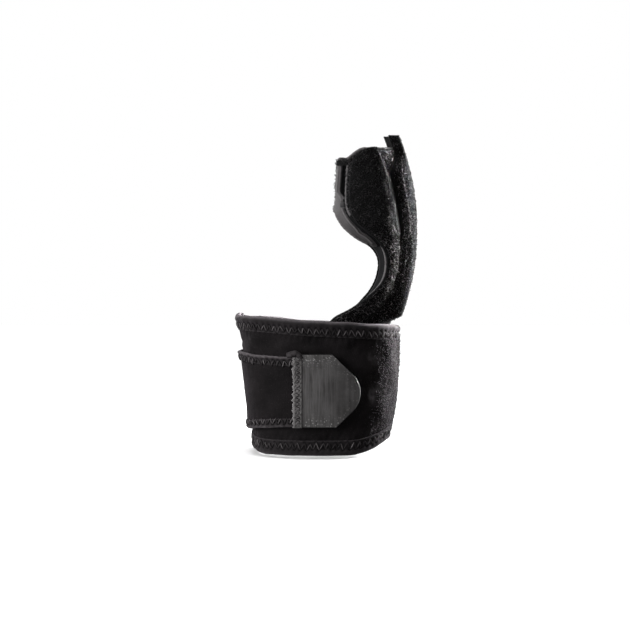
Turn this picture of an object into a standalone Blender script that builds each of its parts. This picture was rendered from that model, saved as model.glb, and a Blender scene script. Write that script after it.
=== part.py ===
"""Thumb and wrist support brace for a right hand, closed as it is worn.

Sizes are in millimetres and are turned into metres when a mesh is made. +Z runs from the
forearm to the fingers, +X is the thumb side and -Y is the palm side. Angles round the wrist
or the thumb are in degrees: 0 is the thumb side, 90 the palm side, 180 the little-finger
side and 270 the back of the hand.
"""

import math

import bmesh
import bpy
from mathutils import Matrix, Vector

MM = 0.001
GAP = 0.4

# Oval of the wrist wrap's inner face: height, centre x, half width, half depth.
WRIST_STATIONS = [
    (0, -2.9, 32.1, 23.5),
    (22, -1.5, 35.5, 24.3),
    (46, -1.7, 38.0, 25.4),
    (70, -3.9, 40.3, 26.6),
]
WRIST_POWER = 2.4

# Layers of the wrist wrap, as distances out from its inner face.
LINING = (0.0, 0.8)
WRAP = (1.1, 2.6)
BINDING_IN = (-0.9, -0.3)
BINDING_OUT = (2.9, 3.5)
BINDING_LEG = 8.0
BINDING_FOLD = 0.6
WRAP_TOP = 68.9
WRAP_TOP_SLOPE = 2.0
WRAP_START = -138.0
WRAP_FOLD = 198.0
FOLD_GAP = 0.6

# The wrap's outer end, which lies over its inner end on the back of the hand.
END_LAYER = (0.8, 2.6)
END_ANGLE = 247.0
OVERLAP_LIFT = 4.0
LIFT_START = 199.5
LIFT_FULL = 217.0
END_HOOK_LAYER = (3.0, 4.2)
END_HOOK_ANGLES = (231.0, 245.0)
END_HOOK_HEIGHTS = (13.0, 56.0)

# The closing strap and its hook tab.
STRAP_LAYER = (3.6, 5.0)
STRAP_BINDING_IN = (2.9, 3.3)
STRAP_BINDING_OUT = (5.3, 5.7)
STRAP_HEIGHTS = (14.7, 50.8)
STRAP_SPREAD = (3.0, 2.6)
STRAP_SPREAD_ANGLES = (110.0, 185.0)
STRAP_LEG = 4.6
STRAP_HINGE = 262.0
ANCHOR_END = 279.0
ANCHOR_LAYER = (3.0, 4.8)
STRAP_END_X = -13.2
STRAP_BINDING_END_X = -18.0
SEAM_TAPE_X = (-17.6, -13.2)
SEAM_TAPE_LAYER = (5.3, 5.8)
TAB_START_X = -12.7
TAB_BACKING_LAYER = (4.3, 5.3)
TAB_HOOK_LAYER = (3.0, 3.9)
TAB_HEIGHTS = (14.7, 52.1)
# Nose of the tab from its lower to its upper edge: height, x.
TAB_NOSE = [
    (14.7, 5.9),
    (19.4, 11.1),
    (24.1, 16.0),
    (27.2, 18.0),
    (32.5, 19.1),
    (37.6, 18.1),
    (41.4, 15.4),
    (46.8, 9.7),
    (52.1, 4.0),
]

# The malleable stay lies on a circle in the plane of the thumb.
ARC_RADIUS = 130.0
ARC_CENTRE = (-82.8, 116.3)
POCKET_OUTER = (129.0, 130.0)
STAY_RADII = (127.2, 128.6)
POCKET_INNER = (126.0, 126.8)
SHELL_RADIUS = 125.7
STAY_Y = -2.0
STAY_HALF_WIDTH = 8.0
STAY_HEIGHTS = (77.0, 162.5)
STAY_CAP_LENGTH = 7.0
SLOT_HALF_WIDTH = 8.8
POCKET_HALF_WIDTH = 12.8
POCKET_HEIGHTS = (60.0, 166.2)
POCKET_SWELL = (68.8, 73.8)
POCKET_EDGE = 1.0
POCKET_CLEARANCE = 0.7

# Oval of the thumb part's outer face: height, left x, centre y, half depth, power.
THUMB_STATIONS = [
    (44, -36.5, -0.8, 22.0, 2.4),
    (58, -39.0, 0.6, 22.6, 2.4),
    (69, -40.5, 1.8, 22.9, 2.4),
    (79, -37.5, 0.6, 23.8, 2.6),
    (89, -30.0, -0.8, 24.2, 2.7),
    (100, -20.0, -1.8, 23.4, 2.6),
    (109, -11.0, -2.5, 21.6, 2.5),
    (117, -4.0, -3.0, 19.8, 2.4),
    (127, 4.0, -3.0, 18.3, 2.3),
    (143, 5.5, -3.0, 17.2, 2.3),
    (158, 6.8, -3.0, 16.2, 2.3),
    (168, 7.2, -3.0, 15.8, 2.3),
]
THUMB_LEAN = 8.0
LEAN_HEIGHT = 60.0
SKIRT_TOP = 69.0
SKIRT_STEP = 0.8
THUMB_SHELL = (-1.6, 0.0)
THUMB_LINING = (-2.7, -2.0)
LOOP_LAYER = (0.5, 1.4)
SHELL_ROWS = [46, 58, 69, 73.5, 77.6, 82, 86.6, 91, 96, 101, 105, 109, 112, 115.1, 118, 121, 123.5]
SHELL_ROWS += [126, 128, 130, 133, 138, 145, 152, 159.5]
THUMB_BOTTOM = 46.0
THUMB_TOP = 159.5
WEB_TOP = 154.6

# Edge of the palm-side shell in the front view: height, x.
PALMAR_EDGE = [
    (44, -4.0),
    (58, -1.5),
    (69, 0.8),
    (73.5, 4.0),
    (77.6, 11.5),
    (80.4, 15.8),
    (82.6, 18.7),
    (86.6, 23.5),
    (90, 26.8),
    (93.1, 28.9),
    (97, 30.2),
    (101, 30.6),
    (105, 30.2),
    (108.5, 29.0),
    (112, 26.8),
    (115.1, 24.0),
    (118, 20.2),
    (121.5, 15.8),
    (125, 12.6),
    (129, 10.5),
    (133, 9.8),
    (140, 9.9),
    (150, 10.5),
    (160, 11.2),
]
# Edge of the back shell in the same view: height, x.
DORSAL_EDGE = [
    (44, 2.0),
    (58, 6.0),
    (69, 12.0),
    (74, 18.0),
    (78, 21.6),
    (82, 25.0),
    (88.7, 28.6),
    (95, 30.1),
    (98.7, 30.2),
    (102.6, 29.2),
    (107, 26.0),
    (111, 20.6),
    (116, 13.6),
    (121, 8.6),
    (124, 7.0),
]
DORSAL_CLOSE = (123.0, 128.5)
WEB_BACK_ANGLE = 196.0
# Lower left outline of the web band: height, x.
WEB_OUTLINE = [
    (109.5, 26.0),
    (111.5, 21.6),
    (114.5, 16.0),
    (119.0, 10.0),
    (124.0, 6.0),
    (128.0, 4.4),
]
WEB_CLOSE = (126.0, 129.0)
WEB_ROWS = [110.2, 112, 114.5, 117.5, 120.5, 123.5, 126, 127.5, 129, 133, 138, 146, 154]
SLIT_HEIGHTS = (132.0, 137.0)
SLIT_WIDTH = 2.0

# The flap that closes the sleeve on the thumb's palm side.
FLAP_LAYER = (2.4, 3.9)
FLAP_HOOK_LAYER = (1.6, 2.1)
FLAP_HEIGHTS = (115.7, 160.2)
FLAP_ROOT_X = 30.8
FLAP_FREE_EDGE = [
    (115.7, 29.0),
    (117.4, 23.0),
    (121.2, 16.4),
    (126.2, 12.6),
    (133.8, 11.4),
    (144.0, 11.7),
    (150.0, 12.4),
    (154.4, 13.9),
    (157.4, 16.2),
    (159.2, 19.6),
    (160.2, 23.6),
]

STITCH_PITCH = 4.0
THREAD = 0.32
THREAD_LIFT = 0.75

COLOURS = {
    "knit": ((0.020, 0.019, 0.020), 0.85, 0.0),
    "lining": ((0.030, 0.030, 0.033), 0.95, 0.0),
    "binding": ((0.030, 0.028, 0.030), 0.75, 0.0),
    "thread": ((0.060, 0.055, 0.060), 0.60, 0.0),
    "loop_pile": ((0.016, 0.016, 0.017), 0.95, 0.0),
    "shell": ((0.045, 0.042, 0.044), 0.70, 0.0),
    "hook_tape": ((0.075, 0.072, 0.073), 0.45, 0.0),
    "aluminium": ((0.80, 0.80, 0.82), 0.35, 1.0),
    "cap_plastic": ((0.03, 0.03, 0.03), 0.50, 0.0),
}


# ---------------------------------------------------------------- maths


def smoothstep(value, start, end):
    """0 before start, 1 after end and a smooth rise in between."""
    share = min(1.0, max(0.0, (value - start) / (end - start)))
    return share * share * (3 - 2 * share)


def at_height(stations, z):
    """The columns of a station table at a height, on cubic curves through the stations."""
    last = len(stations) - 1
    z = min(max(z, stations[0][0]), stations[last][0])
    k = next(i for i in range(last) if z <= stations[i + 1][0])

    def slope(i, column):
        low, high = stations[max(i - 1, 0)], stations[min(i + 1, last)]
        return (high[column] - low[column]) / (high[0] - low[0])

    a, b = stations[k], stations[k + 1]
    span = b[0] - a[0]
    s = (z - a[0]) / span
    found = []
    for column in range(1, len(a)):
        found.append(
            a[column] * (2 * s**3 - 3 * s**2 + 1)
            + slope(k, column) * span * (s**3 - 2 * s**2 + s)
            + b[column] * (3 * s**2 - 2 * s**3)
            + slope(k + 1, column) * span * (s**3 - s**2)
        )
    return found


def on_oval(oval, degrees, offset):
    """Point of a rounded oval at an angle, moved out along its normal."""
    centre_x, centre_y, half_x, half_y, power = oval
    c, s = math.cos(math.radians(degrees)), math.sin(math.radians(degrees))
    x = math.copysign(abs(c) ** (2 / power), c)
    y = math.copysign(abs(s) ** (2 / power), s)
    normal_x = math.copysign(abs(x) ** (power - 1), x) / half_x
    normal_y = math.copysign(abs(y) ** (power - 1), y) / half_y
    length = math.hypot(normal_x, normal_y)
    out_x = half_x * x + offset * normal_x / length
    out_y = half_y * y + offset * normal_y / length
    return centre_x + out_x, centre_y - out_y


def angle_at_x(oval, x, offset=0.0):
    """Angle on the palm side of an oval where it reaches x."""
    share = (x - oval[0]) / (oval[2] + offset)
    share = min(1.0, max(-1.0, share))
    return math.degrees(math.acos(math.copysign(abs(share) ** (oval[4] / 2), share)))


def angle_at_y(oval, y):
    """Angle on the thumb side of an oval where it reaches y."""
    share = (oval[1] - y) / oval[3]
    share = min(1.0, max(-1.0, share))
    return math.degrees(math.asin(math.copysign(abs(share) ** (oval[4] / 2), share)))


# ---------------------------------------------------------------- surfaces


def wrist_oval(z):
    centre, half_width, half_depth = at_height(WRIST_STATIONS, z)
    return centre, 0.0, half_width, half_depth, WRIST_POWER


def wrist(degrees, z, offset):
    """Point at a distance out from the wrap's inner face."""
    return Vector((*on_oval(wrist_oval(z), degrees, offset), z))


def wrap_top(degrees):
    """Height of the wrap's upper edge, which falls towards the thumb."""
    return WRAP_TOP - WRAP_TOP_SLOPE * math.cos(math.radians(degrees))


def end_surface(degrees, z, offset):
    """The wrap's outer end, which rises over the inner end."""
    return wrist(degrees, z, offset + OVERLAP_LIFT * smoothstep(degrees, LIFT_START, LIFT_FULL))


def strap_surface(degrees, z, offset):
    """The strap rises over the wrap's outer end and comes down again at its anchor."""
    rise = smoothstep(degrees, LIFT_START - 9, LIFT_FULL - 9)
    fall = smoothstep(degrees, END_ANGLE + 2, STRAP_HINGE - 2)
    return wrist(degrees, z, offset + OVERLAP_LIFT * (rise - fall))


def arc_x(radius, z):
    """x of a circle about the stay's centre, at a height."""
    return ARC_CENTRE[0] + math.sqrt(radius**2 - (z - ARC_CENTRE[1]) ** 2)


def thumb_oval(z):
    left, centre_y, half_depth, power = at_height(THUMB_STATIONS, z)
    right = arc_x(SHELL_RADIUS, max(z, SKIRT_TOP)) - SKIRT_STEP * (1 - smoothstep(z, 64, SKIRT_TOP))
    return (left + right) / 2, centre_y, (right - left) / 2, half_depth, power


def lean(point):
    """The thumb part leans towards the palm about the X line at LEAN_HEIGHT."""
    turn = Matrix.Rotation(math.radians(THUMB_LEAN), 3, "X")
    pivot = Vector((0.0, 0.0, LEAN_HEIGHT))
    return turn @ (point - pivot) + pivot


def thumb(degrees, z, offset):
    """Point at a distance out from the thumb shells' outer face."""
    return lean(Vector((*on_oval(thumb_oval(z), degrees, offset), z)))


def shell_x(y, z):
    """x of the thumb shells' outer face on the thumb side."""
    centre_x, centre_y, half_x, half_y, power = thumb_oval(z)
    share = min(1.0, abs(y - centre_y) / half_y)
    return centre_x + half_x * (1 - share**power) ** (1 / power)


def palmar_angle(z, inset=0.0):
    """Angle of the palm-side shell's free edge."""
    return angle_at_x(thumb_oval(z), at_height(PALMAR_EDGE, z)[0] + inset)


def dorsal_angle(z, inset=0.0):
    """Angle of the back shell's free edge, as a negative number."""
    cut = -angle_at_x(thumb_oval(z), at_height(DORSAL_EDGE, z)[0] + inset)
    closed = WEB_BACK_ANGLE - 360 + 2
    return cut + (closed - cut) * smoothstep(z, *DORSAL_CLOSE)


def pocket_angle(z, side):
    """Angle just beyond the pocket's edge; side is -1 for the palm and 1 for the back."""
    return angle_at_y(thumb_oval(z), STAY_Y + side * (POCKET_HALF_WIDTH + 0.6))


def sleeve_top(degrees):
    """The sleeve's upper edge falls towards the web of the thumb."""
    return THUMB_TOP - (THUMB_TOP - WEB_TOP) * smoothstep(abs(degrees), 95, 135)


def sleeve(degrees, z, offset):
    """As thumb(), with the uppermost rows brought down to the sleeve's edge."""
    start = 148.0
    if z > start:
        z = start + (z - start) * (sleeve_top(degrees) - start) / (THUMB_TOP - start)
    return thumb(degrees, z, offset)


# ---------------------------------------------------------------- mesh building


def material(name):
    if name in bpy.data.materials:
        return bpy.data.materials[name]
    colour, roughness, metallic = COLOURS[name]
    made = bpy.data.materials.new(name)
    made.use_nodes = True
    shader = made.node_tree.nodes["Principled BSDF"]
    shader.inputs["Base Color"].default_value = (*colour, 1.0)
    shader.inputs["Roughness"].default_value = roughness
    shader.inputs["Metallic"].default_value = metallic
    made.diffuse_color = (*colour, 1.0)
    return made


def place(name, data, material_name, body):
    """Links an object whose points are already in the brace's frame and gives it to a body."""
    made = bpy.data.objects.new(name, data)
    bpy.context.scene.collection.objects.link(made)
    data.materials.append(material(material_name))
    if body is not None:
        made.parent = body
        made.matrix_parent_inverse = body.matrix_world.inverted()
    return made


def finish(bm, name, material_name, body):
    """Turns a closed bmesh in millimetres into an object."""
    bmesh.ops.recalc_face_normals(bm, faces=bm.faces)
    bmesh.ops.scale(bm, vec=(MM, MM, MM), verts=bm.verts)
    data = bpy.data.meshes.new(name)
    bm.to_mesh(data)
    bm.free()
    made = place(name, data, material_name, body)
    data.shade_smooth()
    data.set_sharp_from_angle(angle=math.radians(40))
    return made


def steps(start, end, count):
    return [start + (end - start) * i / count for i in range(count + 1)]


def sheet(name, material_name, body, surface, rows, ends, columns, layer):
    """A slab between two offsets of a surface. Each row runs between the angles in ends(row)."""
    bm = bmesh.new()
    grids = []
    for offset in layer:
        grid = []
        for z in rows:
            first, last = ends(z)
            grid.append([bm.verts.new(surface(u, z, offset)) for u in steps(first, last, columns)])
        grids.append(grid)
    inner, outer = grids
    for i in range(len(rows) - 1):
        for j in range(columns):
            for grid in grids:
                bm.faces.new((grid[i][j], grid[i][j + 1], grid[i + 1][j + 1], grid[i + 1][j]))
    for i in range(len(rows) - 1):
        for j in (0, columns):
            bm.faces.new((inner[i][j], inner[i + 1][j], outer[i + 1][j], outer[i][j]))
    for j in range(columns):
        for i in (0, len(rows) - 1):
            bm.faces.new((inner[i][j], inner[i][j + 1], outer[i][j + 1], outer[i][j]))
    return finish(bm, name, material_name, body)


def edging(name, material_name, body, surface, angles, edge, profile):
    """A profile of (offset, height above the edge) swept along a surface's edge."""
    bm = bmesh.new()
    rings = []
    for u in angles:
        rings.append([bm.verts.new(surface(u, edge(u) + dz, offset)) for offset, dz in profile])
    count = len(profile)
    for a, b in zip(rings, rings[1:]):
        for k in range(count):
            n = (k + 1) % count
            bm.faces.new((a[k], a[n], b[n], b[k]))
    bm.faces.new(rings[0])
    bm.faces.new(rings[-1])
    return finish(bm, name, material_name, body)


def fold_profile(inner, outer, leg, direction):
    """Section of a tape folded over an edge; direction is -1 when its legs hang down."""
    reach, fold = leg * direction, BINDING_FOLD * direction
    return [
        (inner[0], reach),
        (inner[0], 0.0),
        (outer[1], 0.0),
        (outer[1], reach),
        (outer[0], reach),
        (outer[0], fold),
        (inner[1], fold),
        (inner[1], reach),
    ]


def thread(name, body, points):
    """A sewing thread through the given points."""
    data = bpy.data.curves.new(name, "CURVE")
    data.dimensions = "3D"
    spline = data.splines.new("POLY")
    spline.points.add(len(points) - 1)
    for target, point in zip(spline.points, points):
        target.co = (*(point * MM), 1.0)
    data.bevel_depth = THREAD * MM
    data.bevel_resolution = 0
    data.use_fill_caps = True
    return place(name, data, "thread", body)


def zigzag(surface, angles, low, high, offset):
    """Points that swing between two heights, low(u) and high(u), along a surface."""
    found = []
    for i, u in enumerate(angles):
        z = high(u) if i % 2 else low(u)
        found.append(surface(u, z, offset))
    return found


def joint_at(name, point):
    """An empty on a joint's axis, which the joint's pieces hang from."""
    made = bpy.data.objects.new(name, None)
    bpy.context.scene.collection.objects.link(made)
    made.location = point * MM
    bpy.context.view_layer.update()
    return made


# ---------------------------------------------------------------- wrist wrap


def stitch_count(surface, start, end, z, offset):
    """How many half stitches fit between two angles."""
    samples = [surface(u, z, offset) for u in steps(start, end, 40)]
    length = sum((b - a).length for a, b in zip(samples, samples[1:]))
    return 2 * round(length / STITCH_PITCH)


def build_wrist_wrap():
    first = WRAP_START
    last = WRAP_FOLD - FOLD_GAP
    angles = steps(first, last, 44)
    panel_edge = BINDING_FOLD + 0.3
    shares = steps(0.0, 1.0, 5)

    def panel(u, share, offset):
        z = panel_edge + share * (wrap_top(u) - 2 * panel_edge)
        return wrist(u, z, offset)

    for name, kind, layer in (("wrist_wrap", "knit", WRAP), ("wrist_lining", "lining", LINING)):
        sheet(name, kind, None, panel, shares, lambda _: (first, last), 44, layer)
    top = fold_profile(BINDING_IN, BINDING_OUT, BINDING_LEG, -1)
    bottom = fold_profile(BINDING_IN, BINDING_OUT, BINDING_LEG, 1)
    edging("wrist_top_binding", "binding", None, wrist, angles, wrap_top, top)
    edging("wrist_bottom_binding", "binding", None, wrist, angles, lambda u: 0.0, bottom)
    start, end = END_ANGLE - 360 + 4, WRAP_FOLD - 5
    offset = BINDING_OUT[1] + THREAD_LIFT
    count = stitch_count(wrist, start, end, WRAP_TOP, offset)
    points = zigzag(
        wrist,
        steps(start, end, count),
        lambda u: wrap_top(u) - 7.4,
        lambda u: wrap_top(u) - 4.0,
        offset,
    )
    thread("wrist_top_stitching", None, points)
    count = stitch_count(wrist, start, end, 5.0, offset)
    points = zigzag(wrist, steps(start, end, count), lambda u: 3.4, lambda u: 6.8, offset)
    thread("wrist_bottom_stitching", None, points)


def build_wrap_end():
    """The outer end of the wrap folds open about a line just behind the little-finger side."""
    line = [wrist(WRAP_FOLD, z, BINDING_OUT[1] + 0.3) for z in (0.0, wrap_top(WRAP_FOLD))]
    hinge = joint_at("wrap_end_hinge", (line[0] + line[1]) / 2)
    first, last = WRAP_FOLD + FOLD_GAP, END_ANGLE
    panel_edge = BINDING_FOLD + 0.3

    def panel(u, share, offset):
        z = panel_edge + share * (wrap_top(u) - 2 * panel_edge)
        return end_surface(u, z, offset)

    sheet(
        "wrap_end_flap",
        "knit",
        hinge,
        panel,
        steps(0.0, 1.0, 5),
        lambda _: (first, last),
        14,
        END_LAYER,
    )
    angles = steps(first, last, 14)
    inner = (END_LAYER[0] - 0.9, END_LAYER[0] - 0.3)
    top = fold_profile(inner, BINDING_OUT, BINDING_LEG, -1)
    bottom = fold_profile(inner, BINDING_OUT, BINDING_LEG, 1)
    edging("wrap_end_top_binding", "binding", hinge, end_surface, angles, wrap_top, top)
    edging("wrap_end_bottom_binding", "binding", hinge, end_surface, angles, lambda u: 0.0, bottom)
    sheet(
        "wrap_end_hook",
        "hook_tape",
        hinge,
        wrist,
        steps(*END_HOOK_HEIGHTS, 3),
        lambda _: END_HOOK_ANGLES,
        4,
        END_HOOK_LAYER,
    )


# ---------------------------------------------------------------- strap and hook tab


def front_angle(x, z, offset):
    return angle_at_x(wrist_oval(z), x, offset)


def strap_bottom(degrees):
    return STRAP_HEIGHTS[0] - STRAP_SPREAD[0] * smoothstep(degrees, *STRAP_SPREAD_ANGLES)


def strap_top(degrees):
    """The strap's edges draw together towards the tab."""
    return STRAP_HEIGHTS[1] + STRAP_SPREAD[1] * smoothstep(degrees, *STRAP_SPREAD_ANGLES)


def strap_height(degrees, share, inset):
    low, high = strap_bottom(degrees) + inset, strap_top(degrees) - inset
    return low + share * (high - low)


def build_strap_anchor():
    """The sewn root of the strap on the back of the hand."""

    def patch(u, share, offset):
        return wrist(u, strap_height(u, share, 0.0), offset)

    first = STRAP_HINGE + 1.2
    sheet(
        "strap_anchor",
        "knit",
        None,
        patch,
        steps(0.0, 1.0, 4),
        lambda _: (first, ANCHOR_END),
        6,
        ANCHOR_LAYER,
    )
    offset = ANCHOR_LAYER[1] + THREAD_LIFT
    points = []
    for i, share in enumerate(steps(0.06, 0.94, 20)):
        points.append(patch(ANCHOR_END - 2 if i % 2 else first + 2, share, offset))
    thread("strap_anchor_stitching", None, points)


def build_strap():
    hinge = joint_at("strap_hinge", wrist(STRAP_HINGE, 36.0, STRAP_BINDING_OUT[1] + 0.5))
    last = STRAP_HINGE - 1.2

    def panel(u, share, offset):
        return strap_surface(u, strap_height(u, share, BINDING_FOLD + 0.3), offset)

    start = front_angle(STRAP_END_X, 34.0, STRAP_LAYER[1])
    sheet(
        "strap_band",
        "knit",
        hinge,
        panel,
        steps(0.0, 1.0, 4),
        lambda _: (start, last),
        34,
        STRAP_LAYER,
    )
    for name, edge, direction in (
        ("strap_top_binding", strap_top, -1),
        ("strap_bottom_binding", strap_bottom, 1),
    ):
        start = front_angle(STRAP_BINDING_END_X, edge(0.0), STRAP_LAYER[1])
        profile = fold_profile(STRAP_BINDING_IN, STRAP_BINDING_OUT, STRAP_LEG, direction)
        edging(name, "binding", hinge, strap_surface, steps(start, last, 34), edge, profile)
    offset = STRAP_BINDING_OUT[1] + THREAD_LIFT
    first, end = start + 3, last - 3
    count = stitch_count(strap_surface, first, end, 34.0, offset)
    for name, low, high in (
        ("strap_top_stitching", lambda u: strap_top(u) - 6.0, lambda u: strap_top(u) - 2.8),
        ("strap_bottom_stitching", lambda u: strap_bottom(u) + 2.8, lambda u: strap_bottom(u) + 6.0),
    ):
        points = zigzag(strap_surface, steps(first, end, count), low, high, offset)
        thread(name, hinge, points)
    build_tab_seam(hinge)


def build_tab_seam(hinge):
    """The tab's folded edge, sewn over the strap's end."""
    low, high = TAB_HEIGHTS
    sheet(
        "tab_seam_tape",
        "hook_tape",
        hinge,
        wrist,
        steps(low, high - 1.6, 2),
        lambda z: tuple(front_angle(x, z, SEAM_TAPE_LAYER[1]) for x in SEAM_TAPE_X),
        3,
        SEAM_TAPE_LAYER,
    )
    offset = SEAM_TAPE_LAYER[1] + THREAD_LIFT
    points = []
    for i, z in enumerate(steps(low + 1.0, high - 2.6, 28)):
        x = SEAM_TAPE_X[0] + (1.0 if i % 2 else 3.4)
        points.append(wrist(front_angle(x, z, offset), z, offset))
    thread("tab_seam_stitching", hinge, points)


def build_hook_tab():
    axis_angle = front_angle(TAB_START_X - 0.2, 34.0, TAB_BACKING_LAYER[1])
    hinge = joint_at("hook_tab_hinge", wrist(axis_angle, 34.0, TAB_BACKING_LAYER[1] + 0.6))
    heights = [z for z, _ in TAB_NOSE]

    def tab_ends(inset, layer):
        def ends(z):
            nose = at_height(TAB_NOSE, z)[0] - inset
            return tuple(front_angle(x, z, layer[1]) for x in (TAB_START_X + inset, nose))

        return ends

    for name, rows, inset, layer in (
        ("hook_tab_backing", heights, 0.0, TAB_BACKING_LAYER),
        ("hook_field", [heights[0] + 1, *heights[1:-1], heights[-1] - 1], 1.2, TAB_HOOK_LAYER),
    ):
        sheet(name, "hook_tape", hinge, wrist, rows, tab_ends(inset, layer), 8, layer)


# ---------------------------------------------------------------- thumb part


def build_thumb_shells():
    rows = [THUMB_BOTTOM, *SHELL_ROWS[1:-1], THUMB_TOP]
    for name, kind, layer, inset in (
        ("thumb_palmar_shell", "shell", THUMB_SHELL, 0.0),
        ("thumb_palmar_lining", "lining", THUMB_LINING, 0.6),
    ):
        sheet(
            name, kind, None, sleeve, rows, lambda z, i=inset: (1.0, palmar_angle(z, i)), 14, layer
        )
    for name, kind, layer, inset in (
        ("thumb_dorsal_shell", "shell", THUMB_SHELL, 0.0),
        ("thumb_dorsal_lining", "lining", THUMB_LINING, 0.6),
    ):
        sheet(
            name, kind, None, sleeve, rows, lambda z, i=inset: (-1.0, dorsal_angle(z, i)), 16, layer
        )


def web_ends(z):
    """The web band runs from the palm-side shell's edge round the web of the thumb."""
    oval = thumb_oval(z)
    slit = 0.4 + (SLIT_WIDTH - 0.4) * smoothstep(z, *SLIT_HEIGHTS)
    edge = at_height(PALMAR_EDGE, z)[0] - slit
    start = angle_at_x(oval, edge)
    outline = angle_at_x(oval, min(edge - 1.2, at_height(WEB_OUTLINE, z)[0]))
    end = outline + (WEB_BACK_ANGLE - outline) * smoothstep(z, *WEB_CLOSE)
    return start, end


def build_web():
    sheet("web_band", "shell", None, thumb, WEB_ROWS, web_ends, 5, THUMB_SHELL)

    def bridge_ends(z):
        oval = thumb_oval(z)
        edge = at_height(PALMAR_EDGE, z)[0]
        return angle_at_x(oval, edge + 0.8), angle_at_x(oval, edge - SLIT_WIDTH) + 14

    rows = steps(151.6, 157.2, 2)
    sheet("web_bridge_tab", "loop_pile", None, sleeve, rows, bridge_ends, 5, (0.4, 1.2))

    def tack_ends(z):
        centre = angle_at_x(thumb_oval(z), at_height(PALMAR_EDGE, z)[0] - 0.4)
        return centre - 7, centre + 9

    sheet("web_bar_tack", "thread", None, thumb, steps(130.6, 132.2, 1), tack_ends, 4, (0.35, 0.75))


def build_loop_panels():
    rows = [49, *SHELL_ROWS[1:-1], 158.3]

    def palmar_ends(z):
        return pocket_angle(z, -1), palmar_angle(z, 1.3)

    def dorsal_ends(z):
        edge = dorsal_angle(z, 1.3)
        return pocket_angle(z, 1), edge + 3 * smoothstep(z, *DORSAL_CLOSE)

    sheet("palmar_loop_panel", "loop_pile", None, sleeve, rows, palmar_ends, 9, LOOP_LAYER)
    sheet("dorsal_loop_panel", "loop_pile", None, sleeve, rows, dorsal_ends, 12, LOOP_LAYER)


def pocket_width(z):
    """The pocket narrows a little towards its open top."""
    return POCKET_HALF_WIDTH - 2.2 * smoothstep(z, 140.0, POCKET_HEIGHTS[1])


def pocket_surface(w, z, face):
    """Face 0 lies on the shell and face 1 covers the stay."""
    half = pocket_width(z)
    y = STAY_Y + w * half
    inner = shell_x(y, z) + POCKET_CLEARANCE * (1 + 0.6 * smoothstep(z, *POCKET_SWELL))
    crown = arc_x(ARC_RADIUS, z)
    cover = 1 - smoothstep(abs(w) * half, SLOT_HALF_WIDTH + 0.8, half)
    cover *= smoothstep(z, *POCKET_SWELL)
    outer = inner + POCKET_EDGE + (crown - inner - POCKET_EDGE) * cover
    return lean(Vector((inner if face == 0 else outer, y, z)))


def stay_point(y, height, radius):
    """Point on a circle about the stay's centre."""
    angle = math.asin((height - ARC_CENTRE[1]) / ARC_RADIUS)
    x = ARC_CENTRE[0] + radius * math.cos(angle)
    return lean(Vector((x, y, ARC_CENTRE[1] + radius * math.sin(angle))))


def build_stay_pocket():
    rows = [POCKET_HEIGHTS[0], 67, *steps(*POCKET_SWELL, 4), *steps(84.0, POCKET_HEIGHTS[1], 12)]
    shares = [-1.0, -0.9, -0.8, -0.7, -0.35, 0.0, 0.35, 0.7, 0.8, 0.9, 1.0]

    def padded(u, z, face):
        k = min(int(u), len(shares) - 2)
        w = shares[k] + (u - k) * (shares[k + 1] - shares[k])
        return pocket_surface(w, z, face)

    last = len(shares) - 1
    pocket = sheet("stay_pocket", "loop_pile", None, padded, rows, lambda _: (0, last), last, (0, 1))
    cutter = sheet(
        "stay_slot_cutter",
        "loop_pile",
        None,
        stay_point,
        steps(STAY_HEIGHTS[0] - 2.0, POCKET_HEIGHTS[1] + 12.0, 16),
        lambda _: (STAY_Y - SLOT_HALF_WIDTH, STAY_Y + SLOT_HALF_WIDTH),
        1,
        (POCKET_INNER[1], POCKET_OUTER[0]),
    )
    cutter.hide_render = True
    cutter.display_type = "WIRE"
    cut = pocket.modifiers.new("stay_slot", "BOOLEAN")
    cut.operation = "DIFFERENCE"
    cut.object = cutter


def build_stay():
    hinge = joint_at("stay_centre", lean(Vector((ARC_CENTRE[0], STAY_Y, ARC_CENTRE[1]))))
    low, high = STAY_HEIGHTS

    def full_width(_):
        return STAY_Y - STAY_HALF_WIDTH, STAY_Y + STAY_HALF_WIDTH

    def bar(name, kind, rows, ends):
        sheet(name, kind, hinge, stay_point, rows, ends, 2, STAY_RADII)

    bar("thumb_stay", "aluminium", steps(low + STAY_CAP_LENGTH, high - STAY_CAP_LENGTH, 14), full_width)

    def rounded(end, inward):
        def ends(z):
            reach = min(1.0, 0.15 + abs(z - end) / inward)
            half = STAY_HALF_WIDTH * math.sqrt(1 - (1 - reach) ** 2)
            return STAY_Y - half, STAY_Y + half

        return ends

    inward = STAY_CAP_LENGTH - GAP
    lower = [low + inward * share for share in (0.0, 0.12, 0.3, 0.6, 1.0)]
    upper = [high - inward * share for share in (0.0, 0.12, 0.3, 0.6, 1.0)]
    bar("stay_lower_cap", "cap_plastic", lower, rounded(low, inward))
    bar("stay_upper_cap", "cap_plastic", upper, rounded(high, inward))


def flap_root_angle(z):
    return angle_at_x(thumb_oval(z), FLAP_ROOT_X)


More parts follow.
